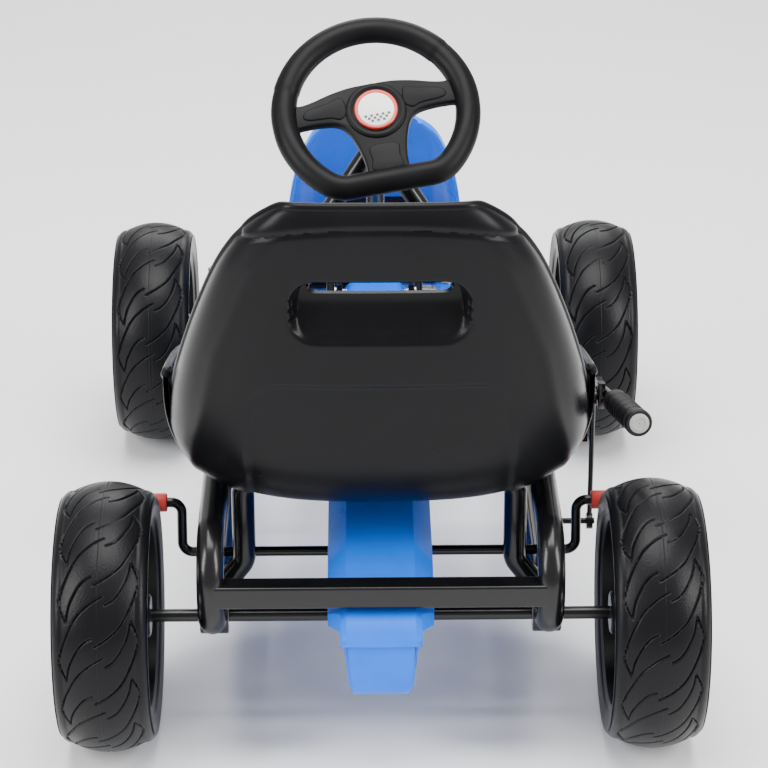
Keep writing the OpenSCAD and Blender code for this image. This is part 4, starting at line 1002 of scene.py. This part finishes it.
# Sections from the fairing's top edge down to the bumper, as those of the seat
FAIRING_SECTIONS = [
    (0, 430, 212, 0.52, 16), (22, 415, 214, 0.72, 28), (66, 374, 216, 0.90, 44),
    (122, 316, 218, 1.0, 58), (180, 252, 212, 1.0, 64), (228, 196, 202, 0.96, 44),
    ((BUMPER_Y - REAR_Y) / MM + 1 - NOSE_Y, 150, 188, 0.88, 34),
    ((BUMPER_Y - REAR_Y) / MM + 2 - NOSE_Y, 124.8, 180, 0.84, 26),
]


def make_fairing():
    """The nose fairing: one curved shell that leans back over the pedals."""
    half = (high("fairing").x - low("fairing").x) / 2
    sections = [(REAR_Y + (NOSE_Y + y) * MM, z * MM, turn, half * w, depth * MM)
                for y, z, turn, w, depth in FAIRING_SECTIONS]
    across = np.linspace(-1, 1, 101)
    outer = even_rows(bucket_points(sections, 20, across, 2.6, 0), 120)
    inner = even_rows(bucket_points(sections, 20, across, 2.6, 4 * MM), 120)
    outward = surface_normals(outer)
    if outward[60, 50, 1] < 0:
        outward = -outward
    x = outer[:, :, 0] / MM
    down = np.linspace(0, 1, 120)[:, None]
    # Two long hollows with a ridge between them, and a soft rib near each side
    lobes = -3.0 * np.exp(-((np.abs(x) - 34) / 17) ** 2) * smoothstep(down, 0.05, 0.2) * (
        1 - smoothstep(down, 0.72, 0.9))
    rib = 1.4 * np.exp(-((np.abs(x) - 68) / 6) ** 2) * smoothstep(down, 0.08, 0.2)
    move = outward * (lobes + rib * 0.8)[:, :, None] * MM
    outer, inner = outer + move, inner + move
    points, faces = closed_skins(outer, inner, grid_faces(*x.shape))
    clean(mesh_piece("nose_shell", points, faces, "frame", "blue_plastic", ["fairing"], sharp=45))


make_fairing()


# ---- wheels: rims and caps ----
# Profiles are [radius, distance outwards from the middle of the wheel]
BARREL = [(86, -37), (89.4, -38.6), (93.5, -39.6), (95.2, -38.6), (95, -36.6), (90.2, -34), (90, 0),
          (90.2, 34), (95, 36.6), (95.2, 38.6), (93.5, 39.6), (89.4, 38.6), (86, 37), (85.2, 20), (84, 13),
          (84, 5), (85.4, -10), (86, -37)]
HUB = [(6.3, -38), (18, -38), (20, -36.5), (20.4, 5), (22, 10.6), (25.5, 11.6), (25.5, 13.2), (21, 14.6),
       (20, 17.4), (18.4, 18), (6.3, 18), (6.3, -38)]
CAP = [(24.6, 12.6), (25, 13), (25, 18), (24.2, 21.5), (22, 25.5), (18.5, 30), (15.5, 33), (13.8, 33.8),
       (12.6, 33.2), (11.6, 33.4), (6, 35.2), (0.4, 35.8)]
WINDOWS = 5
WEB_INNER, WEB_OUTER = 24, 86.5
WEB_ROWS, WEB_STEPS = 30, 360


def make_rim(name, side, y, body, node):
    """The barrel with rolled lips, the hub, and a dished web with windows and spokes between them."""
    origin = (side * WHEEL_X, y, AXLE_Z)
    axis = (side, 0, 0)
    revolve(name + "_barrel", BARREL, origin, axis, body, "rim_plastic", [node])
    revolve(name + "_hub", HUB, origin, axis, body, "rim_plastic", sides=64)
    turn = np.linspace(0, 2 * math.pi, WEB_STEPS, endpoint=False)
    angle, radius = np.meshgrid(turn, np.linspace(WEB_INNER, WEB_OUTER, WEB_ROWS))
    across = (angle * WINDOWS / (2 * math.pi)) % 1 - 0.5
    arc = np.abs(across) * 2 * math.pi / WINDOWS * radius
    window = np.hypot(arc, (radius - 57) * 0.86) - 18
    bulge = 1.8 * np.sin((radius - WEB_INNER) / (WEB_OUTER - WEB_INNER) * math.pi)
    sunk = 5.2 * (1 - smoothstep(window, -1.5, 4.5))
    face = 12.5 + bulge - sunk + 1.6 * smoothstep(radius, 80, 84)
    front = np.stack([face, radius * np.cos(angle), radius * np.sin(angle)], axis=-1)
    rear = front.copy()
    rear[..., 0] = 6.0
    quads = grid_faces(WEB_ROWS, WEB_STEPS, wrap_columns=True)
    kept = quads[(window + 3).ravel()[quads].mean(axis=1) > 0]
    points, faces = closed_skins(front, rear, kept)
    points *= (side * MM, MM, MM)
    clean(mesh_piece(name + "_web", points + np.array(origin), faces, body, "rim_plastic", sharp=50))


def make_cap(name, side, y, body, replaced):
    revolve(name, CAP, (side * WHEEL_X, y, AXLE_Z), (side, 0, 0), body, "blue_plastic", replaced, sides=72)


for word, side in (("left", -1), ("right", 1)):
    make_rim(f"rim_rear_{word}", side, REAR_Y, "rear_axle_set", f"rear_rim_{word}")
    make_rim(f"rim_front_{word}", side, FRONT_Y, f"{word}_front_wheel", f"front_rim_{word}")
    make_cap(f"cap_front_{word}", side, FRONT_Y, f"{word}_front_wheel", [f"front_cap_{word}"])
    # One CAD node holds both rear caps
    make_cap(f"cap_rear_{word}", side, REAR_Y, "rear_axle_set", ["rear_caps"] if side < 0 else [])


# ---- pedals, grip and small parts ----
PEDAL_BARS = 7
# The way that the hand lever points, as in the CAD model
LEVER_WAY = (20.0, -150.0, 33.0)
GRIP_R = 11.9 * MM
GRIP_RIBS = 13


def make_pedal(side):
    """A rounded pedal block with a row of tread bars on each face."""
    node = "pedal_left" if side < 0 else "pedal_right"
    body = "left_pedal" if side < 0 else "right_pedal"
    corner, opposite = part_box(node)
    centre, size = (corner + opposite) / 2, opposite - corner
    bar_half, sunk, proud = 2.2 * MM, 0.6 * MM, 0.9 * MM
    reach = size.y * 0.34
    copy_of(node, 2.4 * MM, segments=4)
    for k in range(PEDAL_BARS):
        x = corner.x + size.x * (k + 0.5) / PEDAL_BARS
        for word, face in (("low", -1), ("high", 1)):
            ends = sorted(centre.z + face * (size.z / 2 + out) for out in (-sunk, proud))
            plain_box(f"{node}_tread_{k}_{word}", (x - bar_half, centre.y - reach, ends[0]),
                      (x + bar_half, centre.y + reach, ends[1]), body, "pedal_plastic", 0.7 * MM)


make_pedal(-1)
make_pedal(1)


def make_grip():
    """The lever's ribbed grip with a paler plug in its end."""
    corners = np.array([tuple(v.co) for v in frame["nodes"]["lever_grip"].data.vertices])
    axis = unit(np.array(LEVER_WAY))
    along = corners @ axis
    near = corners[along < along.min() + 2 * MM].mean(axis=0)
    far = corners[along > along.max() - 2 * MM].mean(axis=0)
    steps, sides = 150, 44
    t = np.linspace(0, 1, steps)
    ribbed = smoothstep(t, 0.1, 0.14) * (1 - smoothstep(t, 0.84, 0.88))
    ribs = 0.55 * MM * np.clip(np.sin(t * 2 * math.pi * GRIP_RIBS) * 2.2, -1, 1) * ribbed
    ends = np.minimum(smoothstep(t, 0, 0.02), 1 - smoothstep(t, 0.97, 1.0) * 0.35)
    collar = 0.9 * MM * smoothstep(t, 0.86, 0.93)
    radii = (GRIP_R + ribs) * (0.75 + 0.25 * ends) + collar
    rings = tube_rings(near + np.outer(t, axis) * float((far - near) @ axis), radii, sides)
    mesh_piece("grip_sleeve", rings.reshape(-1, 3), capped_faces(steps, sides), "lever", "grip_rubber",
               ["lever_grip"])
    revolve("grip_plug", [(9.2, -1.5), (9.2, 0.2), (8.4, 0.7), (5.5, 1.0), (5.0, 0.5), (0.4, 0.5)], far, axis,
            "lever", "grip_rubber", sides=48, material=end_grey)


make_grip()

# CAD nodes that are kept as they are but for rounded edges: the width of the rounding in mm
ROUNDED = {
    "crank_plates": 0.9, "brake_brackets": 0.9, "brake_lever": 0.8, "column_foot": 0.9,
    "knuckle_left": 0.9, "knuckle_right": 0.9, "knuckle_nuts_left": 0.7, "knuckle_nuts_right": 0.7,
    "rear_axle_nuts": 0.7, "bearing_cups": 1.0, "column_tube": 0.8, "brake_pads": 1.2,
    "seat_bolts": 0.5, "trim_screws": 0.4, "steering_column": 0.8,
}
for node, width in ROUNDED.items():
    copy_of(node, width * MM)
